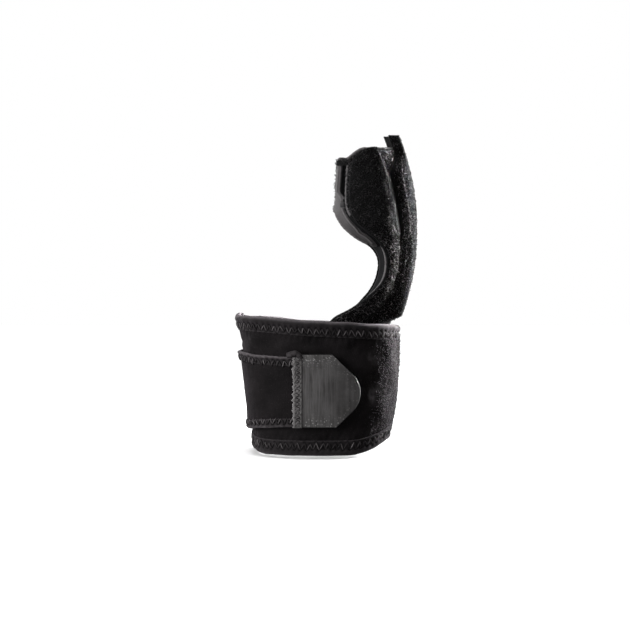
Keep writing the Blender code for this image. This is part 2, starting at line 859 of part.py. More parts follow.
def build_thumb_flap():
    low, high = FLAP_HEIGHTS
    outside = Vector((0.7, 0.0, 0.0))
    lowest = thumb(flap_root_angle(low), low, FLAP_LAYER[1] + 0.6) + outside
    highest = thumb(flap_root_angle(high), high, FLAP_LAYER[1] + 0.6) + outside
    hinge = joint_at("thumb_flap_hinge", (lowest + highest) / 2)

    def ends(z):
        free = at_height(FLAP_FREE_EDGE, z)[0]
        return flap_root_angle(z), angle_at_x(thumb_oval(z), free, FLAP_LAYER[1])

    rows = [z for z, _ in FLAP_FREE_EDGE]
    sheet("thumb_flap", "loop_pile", hinge, thumb, rows, ends, 9, FLAP_LAYER)

    def hook_ends(z):
        free = at_height(FLAP_FREE_EDGE, z)[0]
        return tuple(angle_at_x(thumb_oval(z), free + d, FLAP_LAYER[1]) for d in (11.0, 2.0))

    rows = steps(127.0, 151.0, 4)
    sheet("thumb_flap_hook", "hook_tape", hinge, thumb, rows, hook_ends, 4, FLAP_HOOK_LAYER)


# ---------------------------------------------------------------- whole brace


def centre_brace():
    """Moves the brace so that its box stands on the origin, centred in x and y."""
    bpy.context.view_layer.update()
    graph = bpy.context.evaluated_depsgraph_get()
    corners = []
    for item in bpy.data.objects:
        if item.type in ("MESH", "CURVE") and not item.hide_render:
            shown = item.evaluated_get(graph)
            mesh = shown.to_mesh()
            corners += [shown.matrix_world @ v.co for v in mesh.vertices]
            shown.to_mesh_clear()
    low = Vector(min(c[k] for c in corners) for k in range(3))
    high = Vector(max(c[k] for c in corners) for k in range(3))
    shift = Vector((-(low.x + high.x) / 2, -(low.y + high.y) / 2, -low.z))
    brace = bpy.data.objects.new("brace", None)
    bpy.context.scene.collection.objects.link(brace)
    for item in list(bpy.data.objects):
        if item.parent is None and item is not brace:
            item.parent = brace
    brace.location = shift
    bpy.context.view_layer.update()


def main():
    for item in list(bpy.data.objects):
        bpy.data.objects.remove(item)
    build_wrist_wrap()
    build_wrap_end()
    build_strap_anchor()
    build_strap()
    build_hook_tab()
    build_thumb_shells()
    build_web()
    build_loop_panels()
    build_stay_pocket()
    build_stay()
    build_thumb_flap()
    centre_brace()


main()
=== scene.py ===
"""Looks of the wrist support brace: knit panels, rolled hems, zigzag seams, loop pile and hooks.

Lengths are in millimetres until a mesh is made. Angles round the wrist or the thumb are in
degrees: 0 is the thumb side, 90 the palm side, 180 the little-finger side and 270 the back.
"""

import math

import bpy
import numpy as np
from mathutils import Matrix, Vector


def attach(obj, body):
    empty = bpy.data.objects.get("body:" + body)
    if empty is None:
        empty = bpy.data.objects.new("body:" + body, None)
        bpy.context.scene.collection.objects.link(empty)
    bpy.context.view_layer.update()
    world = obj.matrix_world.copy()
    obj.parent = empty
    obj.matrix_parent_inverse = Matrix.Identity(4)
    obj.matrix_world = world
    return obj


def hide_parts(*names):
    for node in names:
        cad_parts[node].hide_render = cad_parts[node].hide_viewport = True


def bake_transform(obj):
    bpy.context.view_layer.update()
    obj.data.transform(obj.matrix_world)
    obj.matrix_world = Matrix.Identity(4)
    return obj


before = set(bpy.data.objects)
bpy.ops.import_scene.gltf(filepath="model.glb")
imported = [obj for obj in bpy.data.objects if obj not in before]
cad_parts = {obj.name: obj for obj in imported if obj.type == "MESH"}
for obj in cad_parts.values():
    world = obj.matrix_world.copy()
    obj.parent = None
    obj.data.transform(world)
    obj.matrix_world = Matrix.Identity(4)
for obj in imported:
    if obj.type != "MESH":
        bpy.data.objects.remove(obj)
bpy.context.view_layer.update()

MM = 0.001
# From the wrap's own axes to the frame, which stands on the middle of the brace's box.
FRAME_SHIFT = np.array([0.489, 0.965, 0.0])

# Oval of the wrist wrap's inner face: height, centre x, half width, half depth.
WRIST_STATIONS = [
    (0, -2.9, 32.1, 23.5),
    (22, -1.5, 35.5, 24.3),
    (46, -1.7, 38.0, 25.4),
    (70, -3.9, 40.3, 26.6),
]
WRIST_POWER = 2.4
LINING = (0.0, 0.8)
WRAP = (1.1, 2.6)
HEM = (-0.9, 3.5)
HEM_LEG = 8.0
WRAP_TOP = 68.9
WRAP_TOP_SLOPE = 2.0
WRAP_START = -138.0
WRAP_FOLD = 198.0
WRAP_STITCHES = (4.0, 7.4)
WRAP_BOTTOM_STITCHES = (3.4, 6.8)

# The wrap's outer end, on the back of the hand.
END_LAYER = (0.8, 2.6)
END_ANGLE = 247.0
OVERLAP_LIFT = 4.0
LIFT = (199.5, 217.0)
END_HOOK_ANGLES = (231.0, 245.0)
END_HOOK_HEIGHTS = (13.0, 56.0)
END_HOOK_LAYER = (3.0, 4.2)

# The wrap's nap: where it starts and ends, and the mean (width, height) of its loops.
NAP_HEIGHTS = (7.0, 60.5)
NAP_LOOP = (0.8, 0.5)

# The strap and its tab.
STRAP_LAYER = (3.6, 5.0)
STRAP_HEM = (2.9, 5.7)
STRAP_LEG = 4.6
STRAP_HEIGHTS = (14.7, 50.8)
STRAP_SPREAD = (3.0, 2.6)
STRAP_SPREAD_ANGLES = (110.0, 185.0)
STRAP_STITCHES = (1.9, 4.9)
STRAP_HINGE = 262.0
ANCHOR_END = 279.0
STRAP_END_X = -13.4
SEAM_X = (-17.9, -12.9)
SEAM_LAYER = (5.2, 5.9)
TAB_START_X = -13.6
TAB_LAYER = (4.3, 5.3)
TAB_HOOK_LAYER = (3.0, 4.3)
TAB_HEIGHTS = (14.7, 52.1)
# Nose of the tab: height, x.
TAB_NOSE = [
    (14.7, 5.9),
    (19.4, 11.1),
    (24.1, 16.0),
    (27.2, 18.0),
    (32.5, 19.1),
    (37.6, 18.1),
    (41.4, 15.4),
    (46.8, 9.7),
    (52.1, 4.0),
]

# The stay lies on a circle in the plane of the thumb.
ARC_CENTRE = (-82.8, 116.3)
ARC_RADIUS = 130.0
POCKET_SLOT = (126.8, 129.0)
SHELL_RADIUS = 125.7
STAY_Y = -2.0
SLOT_HALF_WIDTH = 8.8
POCKET_HALF_WIDTH = 12.8
COVER_HALF_WIDTH = 16.6
POCKET_HEIGHTS = (60.0, 166.2)
POCKET_SWELL = (68.8, 73.8)
POCKET_EDGE = 0.45
POCKET_CLEARANCE = 0.7

# Oval of the thumb part's outer face: height, left x, centre y, half depth, power.
THUMB_STATIONS = [
    (44, -36.5, -0.8, 22.0, 2.4),
    (58, -39.0, 0.6, 22.6, 2.4),
    (69, -40.5, 1.8, 22.9, 2.4),
    (79, -37.5, 0.6, 23.8, 2.6),
    (89, -30.0, -0.8, 24.2, 2.7),
    (100, -20.0, -1.8, 23.4, 2.6),
    (109, -11.0, -2.5, 21.6, 2.5),
    (117, -4.0, -3.0, 19.8, 2.4),
    (127, 4.0, -3.0, 18.3, 2.3),
    (143, 5.5, -3.0, 17.2, 2.3),
    (158, 6.8, -3.0, 16.2, 2.3),
    (168, 7.2, -3.0, 15.8, 2.3),
]
THUMB_LEAN = 8.0
LEAN_HEIGHT = 60.0
SKIRT_TOP = 69.0
SKIRT_STEP = 0.8
THUMB_SHELL = (-1.6, 0.0)
THUMB_LINING = (-2.7, -2.0)
LOOP_LAYER = (0.4, 1.1)
THUMB_BOTTOM = 46.0
THUMB_TOP = 159.5
WEB_TOP = 154.6
# Edge of the palm-side shell in the front view: height, x.
PALMAR_EDGE = [
    (44, -4.0),
    (58, -1.5),
    (69, 0.8),
    (73.5, 4.0),
    (77.6, 11.5),
    (80.4, 15.8),
    (82.6, 18.7),
    (86.6, 23.5),
    (90, 26.8),
    (93.1, 28.9),
    (97, 30.2),
    (101, 30.6),
    (105, 30.2),
    (108.5, 29.0),
    (112, 26.8),
    (115.1, 24.0),
    (118, 20.2),
    (121.5, 15.8),
    (125, 12.6),
    (129, 10.5),
    (133, 9.8),
    (140, 9.9),
    (150, 10.5),
    (160, 11.2),
]
# Edge of the back shell in the same view: height, x.
DORSAL_EDGE = [
    (44, 2.0),
    (58, 6.0),
    (69, 12.0),
    (74, 18.0),
    (78, 21.6),
    (82, 25.0),
    (88.7, 28.6),
    (95, 30.1),
    (98.7, 30.2),
    (102.6, 29.2),
    (107, 26.0),
    (111, 20.6),
    (116, 13.6),
    (121, 8.6),
    (124, 7.0),
]
DORSAL_CLOSE = (123.0, 128.5)
WEB_BACK_ANGLE = 196.0
# Lower left outline of the web band: height, x.
WEB_OUTLINE = [
    (109.5, 26.0),
    (111.5, 21.6),
    (114.5, 16.0),
    (119.0, 10.0),
    (124.0, 6.0),
    (128.0, 4.4),
]
WEB_CLOSE = (126.0, 129.0)
WEB_HEIGHTS = (110.2, 154.0)
SLIT_HEIGHTS = (133.6, 137.6)
SLIT_WIDTH = 2.8

# The flap over the palm side of the sleeve.
FLAP_LAYER = (2.3, 3.6)
FLAP_HOOK_LAYER = (1.6, 2.3)
FLAP_HEIGHTS = (115.7, 160.2)
FLAP_ROOT_DROP = 0.9
FLAP_BED_RISE = 2.1
FLAP_BED_HEIGHTS = (111.0, 119.0, 148.0, 158.0)
# Free edge of the flap: height, x.
FLAP_FREE_EDGE = [
    (115.7, 29.0),
    (117.4, 23.0),
    (121.2, 16.4),
    (126.2, 12.6),
    (133.8, 11.4),
    (144.0, 11.7),
    (150.0, 12.4),
    (154.4, 13.9),
    (157.4, 16.2),
    (159.2, 19.6),
    (160.2, 23.6),
]

# Seams: length of a whole zigzag, radius of the thread, radius of a needle hole, how far the
# needle strays, and spacing of the rings that a hem is made of.
STITCH_PITCH = 3.1
THREAD = 0.24
NEEDLE_HOLE = 0.62
NEEDLE_SCATTER = 0.30
HEM_STEP = 0.42
# Grids of the knit panels and of the thumb part.
KNIT_SPACING = 0.75
PANEL_ROWS = 92
THUMB_SPACING = 0.9


# ---------------------------------------------------------------- maths


def smoothstep(value, start, end):
    """0 before start, 1 after end and a smooth rise in between."""
    share = np.clip((np.asarray(value, float) - start) / (end - start), 0.0, 1.0)
    return share * share * (3 - 2 * share)


def at_height(stations, z):
    """The columns of a station table at heights, on cubic curves through the stations."""
    table = np.array(stations, float)
    heights = table[:, 0]
    order = np.arange(len(table))
    low, high = np.maximum(order - 1, 0), np.minimum(order + 1, len(table) - 1)
    slopes = (table[high] - table[low]) / (heights[high] - heights[low])[:, None]
    z = np.clip(np.asarray(z, float), heights[0], heights[-1])
    k = np.clip(np.searchsorted(heights, z) - 1, 0, len(table) - 2)
    span = (heights[k + 1] - heights[k])[..., None]
    s = (z - heights[k])[..., None] / span
    found = table[k] * (2 * s**3 - 3 * s**2 + 1) + slopes[k] * span * (s**3 - 2 * s**2 + s)
    found = found + table[k + 1] * (3 * s**2 - 2 * s**3) + slopes[k + 1] * span * (s**3 - s**2)
    return [found[..., column] for column in range(1, table.shape[1])]


def signed_power(value, power):
    return np.sign(value) * np.abs(value) ** power


def on_oval(oval, degrees, offset):
    """x and y of a rounded oval at an angle, moved out along its normal."""
    centre_x, centre_y, half_x, half_y, power = oval
    turn = np.radians(degrees)
    x = signed_power(np.cos(turn), 2 / power)
    y = signed_power(np.sin(turn), 2 / power)
    normal_x = signed_power(x, power - 1) / half_x
    normal_y = signed_power(y, power - 1) / half_y
    length = np.hypot(normal_x, normal_y)
    out_x = half_x * x + offset * normal_x / length
    out_y = half_y * y + offset * normal_y / length
    return centre_x + out_x, centre_y - out_y


def angle_at_x(oval, x, offset=0.0):
    """Angle on the palm side of an oval where it reaches x."""
    share = np.clip((x - oval[0]) / (oval[2] + offset), -1.0, 1.0)
    return np.degrees(np.arccos(signed_power(share, oval[4] / 2)))


def angle_at_y(oval, y):
    """Angle on the thumb side of an oval where it reaches y."""
    share = np.clip((oval[1] - y) / oval[3], -1.0, 1.0)
    return np.degrees(np.arcsin(signed_power(share, oval[4] / 2)))


def unit(vectors):
    return vectors / np.maximum(np.linalg.norm(vectors, axis=-1, keepdims=True), 1e-9)


def run_along(points):
    """Distance travelled along rows of points."""
    steps = np.linalg.norm(np.diff(points, axis=-2), axis=-1)
    return np.concatenate([np.zeros_like(steps[..., :1]), np.cumsum(steps, axis=-1)], axis=-1)


def ripples(x, y, pitch, seed):
    """Soft irregular waves between about -1 and 1."""
    rng = np.random.default_rng(seed)
    total = 0.0
    for _ in range(7):
        turn, size, phase = rng.random(3) * (2 * math.pi, 1.0, 2 * math.pi)
        reach = 2 * math.pi / (pitch * (0.7 + 0.8 * size))
        total = total + np.sin(reach * (x * math.cos(turn) + y * math.sin(turn)) + phase)
    return total / 3.5


# ---------------------------------------------------------------- surfaces


def stacked(x, y, z):
    return np.stack(np.broadcast_arrays(x, y, z), axis=-1)


def wrist_oval(z):
    centre, half_width, half_depth = at_height(WRIST_STATIONS, z)
    return centre, 0.0, half_width, half_depth, WRIST_POWER


def wrist(degrees, z, offset):
    """Points at a distance out from the wrap's inner face."""
    return stacked(*on_oval(wrist_oval(z), degrees, offset), z)


def wrap_top(degrees):
    """Height of the wrap's upper edge, which falls towards the thumb and peaks at the fold."""
    worn_up = 1.2 * smoothstep(np.abs(degrees), 75, 150)
    peak = 1.3 * np.exp(-(((degrees - 183.0) / 9.0) ** 2))
    return WRAP_TOP - WRAP_TOP_SLOPE * np.cos(np.radians(degrees)) + worn_up + peak


def wrap_bottom(degrees):
    """Height of the wrap's lower edge, which is drawn up a little at both sides of the wrist."""
    thumb_side = 6.5 * (1 - smoothstep(np.abs(degrees), 5, 72))
    little_finger_side = 2.5 * np.exp(-(((degrees - 184.0) / 22.0) ** 2))
    return thumb_side + little_finger_side


def end_surface(degrees, z, offset):
    """The wrap's outer end, which rises over the inner end."""
    return wrist(degrees, z, offset + OVERLAP_LIFT * smoothstep(degrees, *LIFT))


def strap_surface(degrees, z, offset):
    """The strap rises over the wrap's outer end and comes down again at its anchor."""
    rise = smoothstep(degrees, LIFT[0] - 9, LIFT[1] - 9)
    fall = smoothstep(degrees, END_ANGLE + 2, STRAP_HINGE - 2)
    return wrist(degrees, z, offset + OVERLAP_LIFT * (rise - fall))


def front_angle(x, z, offset):
    return angle_at_x(wrist_oval(z), x, offset)


def strap_bottom(degrees):
    return STRAP_HEIGHTS[0] - STRAP_SPREAD[0] * smoothstep(degrees, *STRAP_SPREAD_ANGLES)


def strap_top(degrees):
    return STRAP_HEIGHTS[1] + STRAP_SPREAD[1] * smoothstep(degrees, *STRAP_SPREAD_ANGLES)


def arc_x(radius, z):
    """x of a circle about the stay's centre, at a height."""
    return ARC_CENTRE[0] + np.sqrt(radius**2 - (z - ARC_CENTRE[1]) ** 2)


def thumb_oval(z):
    left, centre_y, half_depth, power = at_height(THUMB_STATIONS, z)
    right = arc_x(SHELL_RADIUS, np.maximum(z, SKIRT_TOP))
    right = right - SKIRT_STEP * (1 - smoothstep(z, 64, SKIRT_TOP))
    return (left + right) / 2, centre_y, (right - left) / 2, half_depth, power


def lean(points):
    """The thumb part leans towards the palm about the X line at LEAN_HEIGHT."""
    c, s = math.cos(math.radians(THUMB_LEAN)), math.sin(math.radians(THUMB_LEAN))
    x, y, z = points[..., 0], points[..., 1], points[..., 2] - LEAN_HEIGHT
    return stacked(x, y * c - z * s, y * s + z * c + LEAN_HEIGHT)


def thumb(degrees, z, offset):
    """Points at a distance out from the thumb shells' outer face."""
    return lean(stacked(*on_oval(thumb_oval(z), degrees, offset), z))


def sleeve(degrees, z, offset):
    """As thumb(), with the uppermost rows brought down to the sleeve's sloping edge."""
    start = 148.0
    top = THUMB_TOP - (THUMB_TOP - WEB_TOP) * smoothstep(np.abs(degrees), 95, 135)
    lowered = start + (z - start) * (top - start) / (THUMB_TOP - start)
    return thumb(degrees, np.where(z > start, lowered, z), offset)


def shell_x(y, z):
    """x of the thumb shells' outer face on the thumb side."""
    centre_x, centre_y, half_x, half_y, power = thumb_oval(z)
    share = np.minimum(1.0, np.abs(y - centre_y) / half_y)
    return centre_x + half_x * (1 - share**power) ** (1 / power)


def palmar_angle(z, inset=0.0):
    """Angle of the palm-side shell's free edge."""
    return angle_at_x(thumb_oval(z), at_height(PALMAR_EDGE, z)[0] + inset)


def dorsal_angle(z, inset=0.0):
    """Angle of the back shell's free edge, as a negative number."""
    cut = -angle_at_x(thumb_oval(z), at_height(DORSAL_EDGE, z)[0] + inset)
    closed = WEB_BACK_ANGLE - 360 + 2
    return cut + (closed - cut) * smoothstep(z, *DORSAL_CLOSE)


def pocket_angle(z, side):
    """Angle at the pocket cover's edge; side is -1 for the palm and 1 for the back."""
    return angle_at_y(thumb_oval(z), STAY_Y + side * cover_half_width(z))


def web_ends(z):
    """The web band runs from the palm-side shell's edge round the web of the thumb."""
    oval = thumb_oval(z)
    slit = 0.4 + (SLIT_WIDTH - 0.4) * smoothstep(z, *SLIT_HEIGHTS)
    edge = at_height(PALMAR_EDGE, z)[0] - slit
    start = angle_at_x(oval, edge)
    outline = angle_at_x(oval, np.minimum(edge - 1.2, at_height(WEB_OUTLINE, z)[0]))
    return start, outline + (WEB_BACK_ANGLE - outline) * smoothstep(z, *WEB_CLOSE)


def cover_half_width(z):
    """The pocket's cover narrows where it stands up past the sleeve."""
    return COVER_HALF_WIDTH - (COVER_HALF_WIDTH - POCKET_HALF_WIDTH + 2.2) * smoothstep(z, 146.0, 160.0)


def flap_bed(w, z):
    """The pocket's cover is raised along its palm-side edge, flush with the flap's root."""
    first, full, fading, last = FLAP_BED_HEIGHTS
    beside = smoothstep(z, first, full) * (1 - smoothstep(z, fading, last))
    return FLAP_BED_RISE * beside * smoothstep(-w, 0.4, 1.0)


def pocket_face(w, z, share):
    """The pocket's cover across the stay; w runs from -1 to 1 and share from inner to outer."""
    half = cover_half_width(z)
    y = STAY_Y + w * half
    inner = shell_x(y, z) + POCKET_CLEARANCE * (1 + 0.6 * smoothstep(z, *POCKET_SWELL))
    cover = 1 - smoothstep(np.abs(w) * half, SLOT_HALF_WIDTH + 0.4, half)
    cover = cover * smoothstep(z, *POCKET_SWELL)
    edge = POCKET_EDGE + flap_bed(w, z)
    outside = inner + edge + (arc_x(ARC_RADIUS, z) - inner - edge) * cover
    inside = inner + 0.25 + (arc_x(POCKET_SLOT[1], z) - inner - 0.25) * cover
    return lean(stacked(inside + (outside - inside) * share, y, z))


def pocket_back(w, z, share):
    """The strip behind the stay, between the slot and the thumb shells."""
    half = np.minimum(cover_half_width(z), POCKET_HALF_WIDTH) - 0.6
    y = STAY_Y + w * half
    inner = shell_x(y, z) + POCKET_CLEARANCE * (1 + 0.6 * smoothstep(z, *POCKET_SWELL)) - 0.3
    reach = smoothstep(z, *POCKET_SWELL) * (1 - smoothstep(np.abs(w) * half, SLOT_HALF_WIDTH, half))
    thickness = 0.3 + np.maximum(arc_x(POCKET_SLOT[0], z) - inner - 0.3, 0.0) * reach
    return lean(stacked(inner + thickness * share, y, z))


# ---------------------------------------------------------------- mesh building


def signed_volume(points, faces):
    total = 0.0
    for group in faces:
        for k in range(1, group.shape[1] - 1):
            a, b, c = points[group[:, 0]], points[group[:, k]], points[group[:, k + 1]]
            total += float(np.einsum("ij,ij->i", a, np.cross(b, c)).sum())
    return total


def link_new(name, data):
    """A new object in the scene."""
    item = bpy.data.objects.new(name, data)
    bpy.context.scene.collection.objects.link(item)
    return item


def new_piece(name, points, faces, look, **values):
    """An object from points and arrays of faces that close it, with named values at its points."""
    points = np.asarray(points, float).reshape(-1, 3)
    if signed_volume(points - points.mean(0), faces) < 0:
        faces = [group[:, ::-1] for group in faces]
    mesh = bpy.data.meshes.new(name)
    mesh.vertices.add(len(points))
    mesh.vertices.foreach_set("co", ((points + FRAME_SHIFT) * MM).astype(np.float32).ravel())
    corners = np.concatenate([group.ravel() for group in faces])
    sizes = np.concatenate([np.full(len(group), group.shape[1]) for group in faces])
    starts = np.concatenate([[0], np.cumsum(sizes)[:-1]])
    mesh.loops.add(len(corners))
    mesh.loops.foreach_set("vertex_index", corners.astype(np.int32))
    mesh.polygons.add(len(sizes))
    mesh.polygons.foreach_set("loop_start", starts.astype(np.int32))
    mesh.update(calc_edges=True)
    mesh.shade_smooth()
    for key, held in values.items():
        kind = "FLOAT" if held.ndim == 1 else "FLOAT_VECTOR"
        layer = mesh.attributes.new(key, kind, "POINT")
        layer.data.foreach_set("value" if held.ndim == 1 else "vector", held.astype(np.float32).ravel())
    mesh.materials.append(look)
    return link_new(name, mesh)


def slab_faces(rows, columns):
    """Faces of a closed slab: a grid of rows by columns, and then the grid behind it."""
    index = np.arange(rows * columns).reshape(rows, columns)
    a, b, c, d = index[:-1, :-1], index[:-1, 1:], index[1:, 1:], index[1:, :-1]
    front = np.stack([a, b, c, d], -1).reshape(-1, 4)
    back = front[:, ::-1] + rows * columns
    border = np.concatenate([index[0, :-1], index[:-1, -1], index[-1, :0:-1], index[:0:-1, 0]])
    after = np.roll(border, -1)
    rim = np.stack([after, border, border + rows * columns, after + rows * columns], -1)
    return [np.concatenate([front, back, rim])]


def even_grid(surface, heights, ends, spacing, offset=0.0):
    """A grid of angles and heights whose rows are divided evenly between the angles in ends(z)."""
    rows, longest = [], 0.0
    for z in heights:
        first, last = ends(z)
        dense = np.linspace(first, last, 600)
        run = run_along(surface(dense, z, offset))
        longest = max(longest, run[-1])
        rows.append((run, dense))
    columns = max(4, int(longest / spacing))
    shares = np.linspace(0.0, 1.0, columns)
    u = np.array([np.interp(shares * run[-1], run, dense) for run, dense in rows])
    return u, np.repeat(np.asarray(heights, float)[:, None], columns, 1)


def even_angles(surface, start, end, z, offset, count):
    """Angles that divide a stretch of a surface into equal lengths."""
    dense = np.linspace(start, end, 1200)
    run = run_along(surface(dense, z, offset))
    return np.interp(np.linspace(0.0, run[-1], count), run, dense)


def stretch_length(surface, start, end, z, offset):
    return run_along(surface(np.linspace(start, end, 600), z, offset))[-1]


def slab(name, look, surface, grid, layer, relief=None, under=None, rounding=0.7, **values):
    """A closed piece of cloth between two offsets of a surface, with rounded borders.

    relief(along, across) raises its outer face, and under() its inner face.
    """
    u, z = grid
    middle = surface(u, z, (layer[0] + layer[1]) / 2)
    along = run_along(middle)
    across = run_along(middle.swapaxes(0, 1)).swapaxes(0, 1)
    away = np.minimum(along, along[:, -1:] - along)
    away = np.minimum(away, np.minimum(across, across[-1:] - across))
    full = np.sqrt(1 - (1 - np.clip(away / rounding, 0.0, 1.0)) ** 2)
    full = np.maximum(full, 0.2)
    half = (layer[1] - layer[0]) / 2 * full
    centre = (layer[0] + layer[1]) / 2
    lift = relief(along, across) * full if relief else 0.0
    sink = under(along, across) * full if under else 0.0
    outer = surface(u, z, centre + half + lift)
    inner = surface(u, z, centre - half + sink)
    points = np.concatenate([outer.reshape(-1, 3), inner.reshape(-1, 3)])
    fabric = np.tile(stacked(along, across, 0.0).reshape(-1, 3), (2, 1))
    # 1 at the rounded borders: wear on cloth, and painted shade along the hook tab's border.
    wear = np.tile((1 - full).ravel(), 2)
    extra = {key: np.tile(held(along, across).ravel(), 2) for key, held in values.items()}
    return new_piece(name, points, slab_faces(*u.shape), look, fabric=fabric, wear=wear, **extra)


def ring_faces(count, rings, sides):
    """Walls and end caps of closed tubes whose points run by tube, ring and side."""
    index = np.arange(count * rings * sides).reshape(count, rings, sides)
    a, d = index[:, :-1], index[:, 1:]
    walls = np.stack([a, np.roll(a, -1, 2), np.roll(d, -1, 2), d], -1).reshape(-1, 4)
    return [walls, np.concatenate([index[:, 0, ::-1], index[:, -1]])]


def tubes(paths, reference, radius, sides):
    """Points and faces of a closed tube round each path. reference points across each path."""
    along = unit(np.gradient(paths, axis=1))
    side = unit(np.cross(along, reference))
    up = np.cross(side, along)
    turn = 2 * math.pi * (np.arange(sides) + 0.5) / sides
    ring = side[:, :, None] * np.cos(turn)[:, None] + up[:, :, None] * np.sin(turn)[:, None]
    points = paths[:, :, None] + np.asarray(radius)[..., None, None] * ring
    return points.reshape(-1, 3), ring_faces(*paths.shape[:2], sides)


def tube_piece(name, look, paths, reference, radius, sides, seed, shade=1.0, tip=None):
    """Many threads as one object, each with its own tone; shade darkens it, and tip is high at crowns and
    low at the roots, where fibre_look paints shade.
    """
    points, faces = tubes(paths, reference, radius, sides)
    m, n, _ = paths.shape
    tone = np.repeat(np.random.default_rng(seed).random(m) * shade, n * sides)
    if tip is None:
        tip = np.clip(np.sin(math.pi * np.linspace(0, 1, n)), 0.0, 1.0) ** 0.7
    tips = np.tile(np.repeat(tip, sides), m)
    length = np.repeat(run_along(paths).ravel(), sides)
    around = np.tile(np.arange(sides) / sides, m * n)
    fabric = stacked(length, around, tone)
    return new_piece(name, points, faces, look, tone=tone, tip=tips, fabric=fabric)


# ---------------------------------------------------------------- looks


def node(tree, kind, inputs=(), **settings):
    """A shader node; inputs are (socket, value or output socket) pairs."""
    made = tree.nodes.new("ShaderNode" + kind)
    for key, value in settings.items():
        setattr(made, key, value)
    for key, value in inputs:
        if isinstance(value, bpy.types.NodeSocket):
            tree.links.new(value, made.inputs[key])
        else:
            made.inputs[key].default_value = value
    return made


def math_node(tree, operation, a, b=0.0):
    return node(tree, "Math", [(0, a), (1, b)], operation=operation).outputs[0]


def mix_colour(tree, factor, a, b):
    made = node(tree, "Mix", [(0, factor)], data_type="RGBA")
    for key, value in (("A", a), ("B", b)):
        socket = [s for s in made.inputs if s.name == key and s.type == "RGBA"][0]
        if isinstance(value, bpy.types.NodeSocket):
            tree.links.new(value, socket)
        else:
            socket.default_value = (*value, 1.0)
    return [s for s in made.outputs if s.type == "RGBA"][0]


def spread(tree, value, low, high, start=0.0, end=1.0):
    """Maps a value from start..end to low..high."""
    pairs = [("Value", value), ("From Min", start), ("From Max", end), ("To Min", low), ("To Max", high)]
    return node(tree, "MapRange", pairs).outputs[0]


def new_look(name, **shader_values):
    """A material, its node tree and its shader, with the values that are the same all over."""
    made = bpy.data.materials.new(name)
    made.use_nodes = True
    shader = made.node_tree.nodes["Principled BSDF"]
    for key, value in shader_values.items():
        shader.inputs[key.replace("_", " ")].default_value = value
    return made, made.node_tree, shader


def attribute(tree, name, output="Fac"):
    """A value that new_piece() stored at the mesh's points."""
    return node(tree, "Attribute", attribute_name=name).outputs[output]


def connect(tree, shader, colour, roughness, height, strength, distance):
    """Links a look's colour, roughness and bump to its shader."""
    tree.links.new(colour, shader.inputs["Base Color"])
    tree.links.new(roughness, shader.inputs["Roughness"])
    pairs = [("Height", height), ("Strength", strength), ("Distance", distance)]
    tree.links.new(node(tree, "Bump", pairs).outputs[0], shader.inputs["Normal"])


def fabric_noise(tree, scale, detail=3.0, stretch=(1.0, 1.0, 1.0)):
    """Noise laid along the fabric; scale is in waves per millimetre."""
    place = attribute(tree, "fabric", "Vector")
    moved = node(tree, "Mapping", [("Vector", place), ("Scale", stretch)]).outputs[0]
    pairs = [("Vector", moved), ("Scale", scale), ("Detail", detail), ("Roughness", 0.6)]
    return node(tree, "TexNoise", pairs).outputs[0]


def knit_height(tree, wale, course):
    """Height of a plain knit: columns of small leaning loops."""
    place = attribute(tree, "fabric", "Vector")
    parts = node(tree, "SeparateXYZ", [(0, place)])
    column = math_node(tree, "FRACT", math_node(tree, "DIVIDE", parts.outputs[0], wale))
    bend = math_node(tree, "ABSOLUTE", math_node(tree, "SUBTRACT", column, 0.5))
    row = math_node(tree, "DIVIDE", parts.outputs[1], course)
    phase = math_node(tree, "ADD", row, math_node(tree, "MULTIPLY", bend, 1.3))
    wave = math_node(tree, "SINE", math_node(tree, "MULTIPLY", phase, 2 * math.pi))
    groove = math_node(tree, "SINE", math_node(tree, "MULTIPLY", column, math.pi))
    return math_node(tree, "MULTIPLY", spread(tree, wave, 0.2, 1.0, -1.0, 1.0), groove)


def woven_height(tree, pitch):
    """Height of a fine plain weave."""
    place = attribute(tree, "fabric", "Vector")
    parts = node(tree, "SeparateXYZ", [(0, place)])
    warp = math_node(tree, "SINE", math_node(tree, "MULTIPLY", parts.outputs[0], 2 * math.pi / pitch))
    weft = math_node(tree, "SINE", math_node(tree, "MULTIPLY", parts.outputs[1], 2 * math.pi / pitch))
    return spread(tree, math_node(tree, "MULTIPLY", warp, weft), 0.0, 1.0, -1.0, 1.0)


def cloth_look(name, dark, light, worn_and_shading, height, roughness=(0.78, 0.95), bump=0.5, **shader_values):
    """Cloth whose tone drifts, with lint, worn borders and folds, a painted highlight on the crests of edge
    rolls, painted shade in the needle holes and the grooves of its knit or weave.
    """
    made, tree, shader = new_look(name, **shader_values)
    patches = spread(tree, fabric_noise(tree, 0.07, 4.0), 0.0, 1.0, 0.35, 0.68)
    colour = mix_colour(tree, patches, dark, light)
    grain = height(tree)
    lint = spread(tree, fabric_noise(tree, 1.6, 2.0), 0.0, 1.0, 0.60, 0.80)
    colour = mix_colour(tree, math_node(tree, "MULTIPLY", lint, 0.5), colour, worn_and_shading)
    # Painted shade: the low parts of the knit or weave are darkened.
    colour = mix_colour(tree, spread(tree, grain, 0.35, 0.0), colour, (0.002, 0.002, 0.002))
    # Lighter where the wear value is high: wear on borders and hem folds, and a painted highlight on the
    # crests of edge rolls.
    rubbed_and_lit = spread(tree, fabric_noise(tree, 0.5), 0.3, 1.0, 0.3, 0.7)
    rubbed_and_lit = math_node(tree, "MULTIPLY", attribute(tree, "wear"), rubbed_and_lit)
    colour = mix_colour(tree, rubbed_and_lit, colour, worn_and_shading)
    # Painted shade in the needle holes.
    colour = mix_colour(tree, attribute(tree, "hole"), colour, (0.001, 0.001, 0.001))
    raised = math_node(tree, "ADD", grain, math_node(tree, "MULTIPLY", lint, 0.6))
    connect(tree, shader, colour, spread(tree, patches, *roughness), raised, bump, 0.00012)
    return made


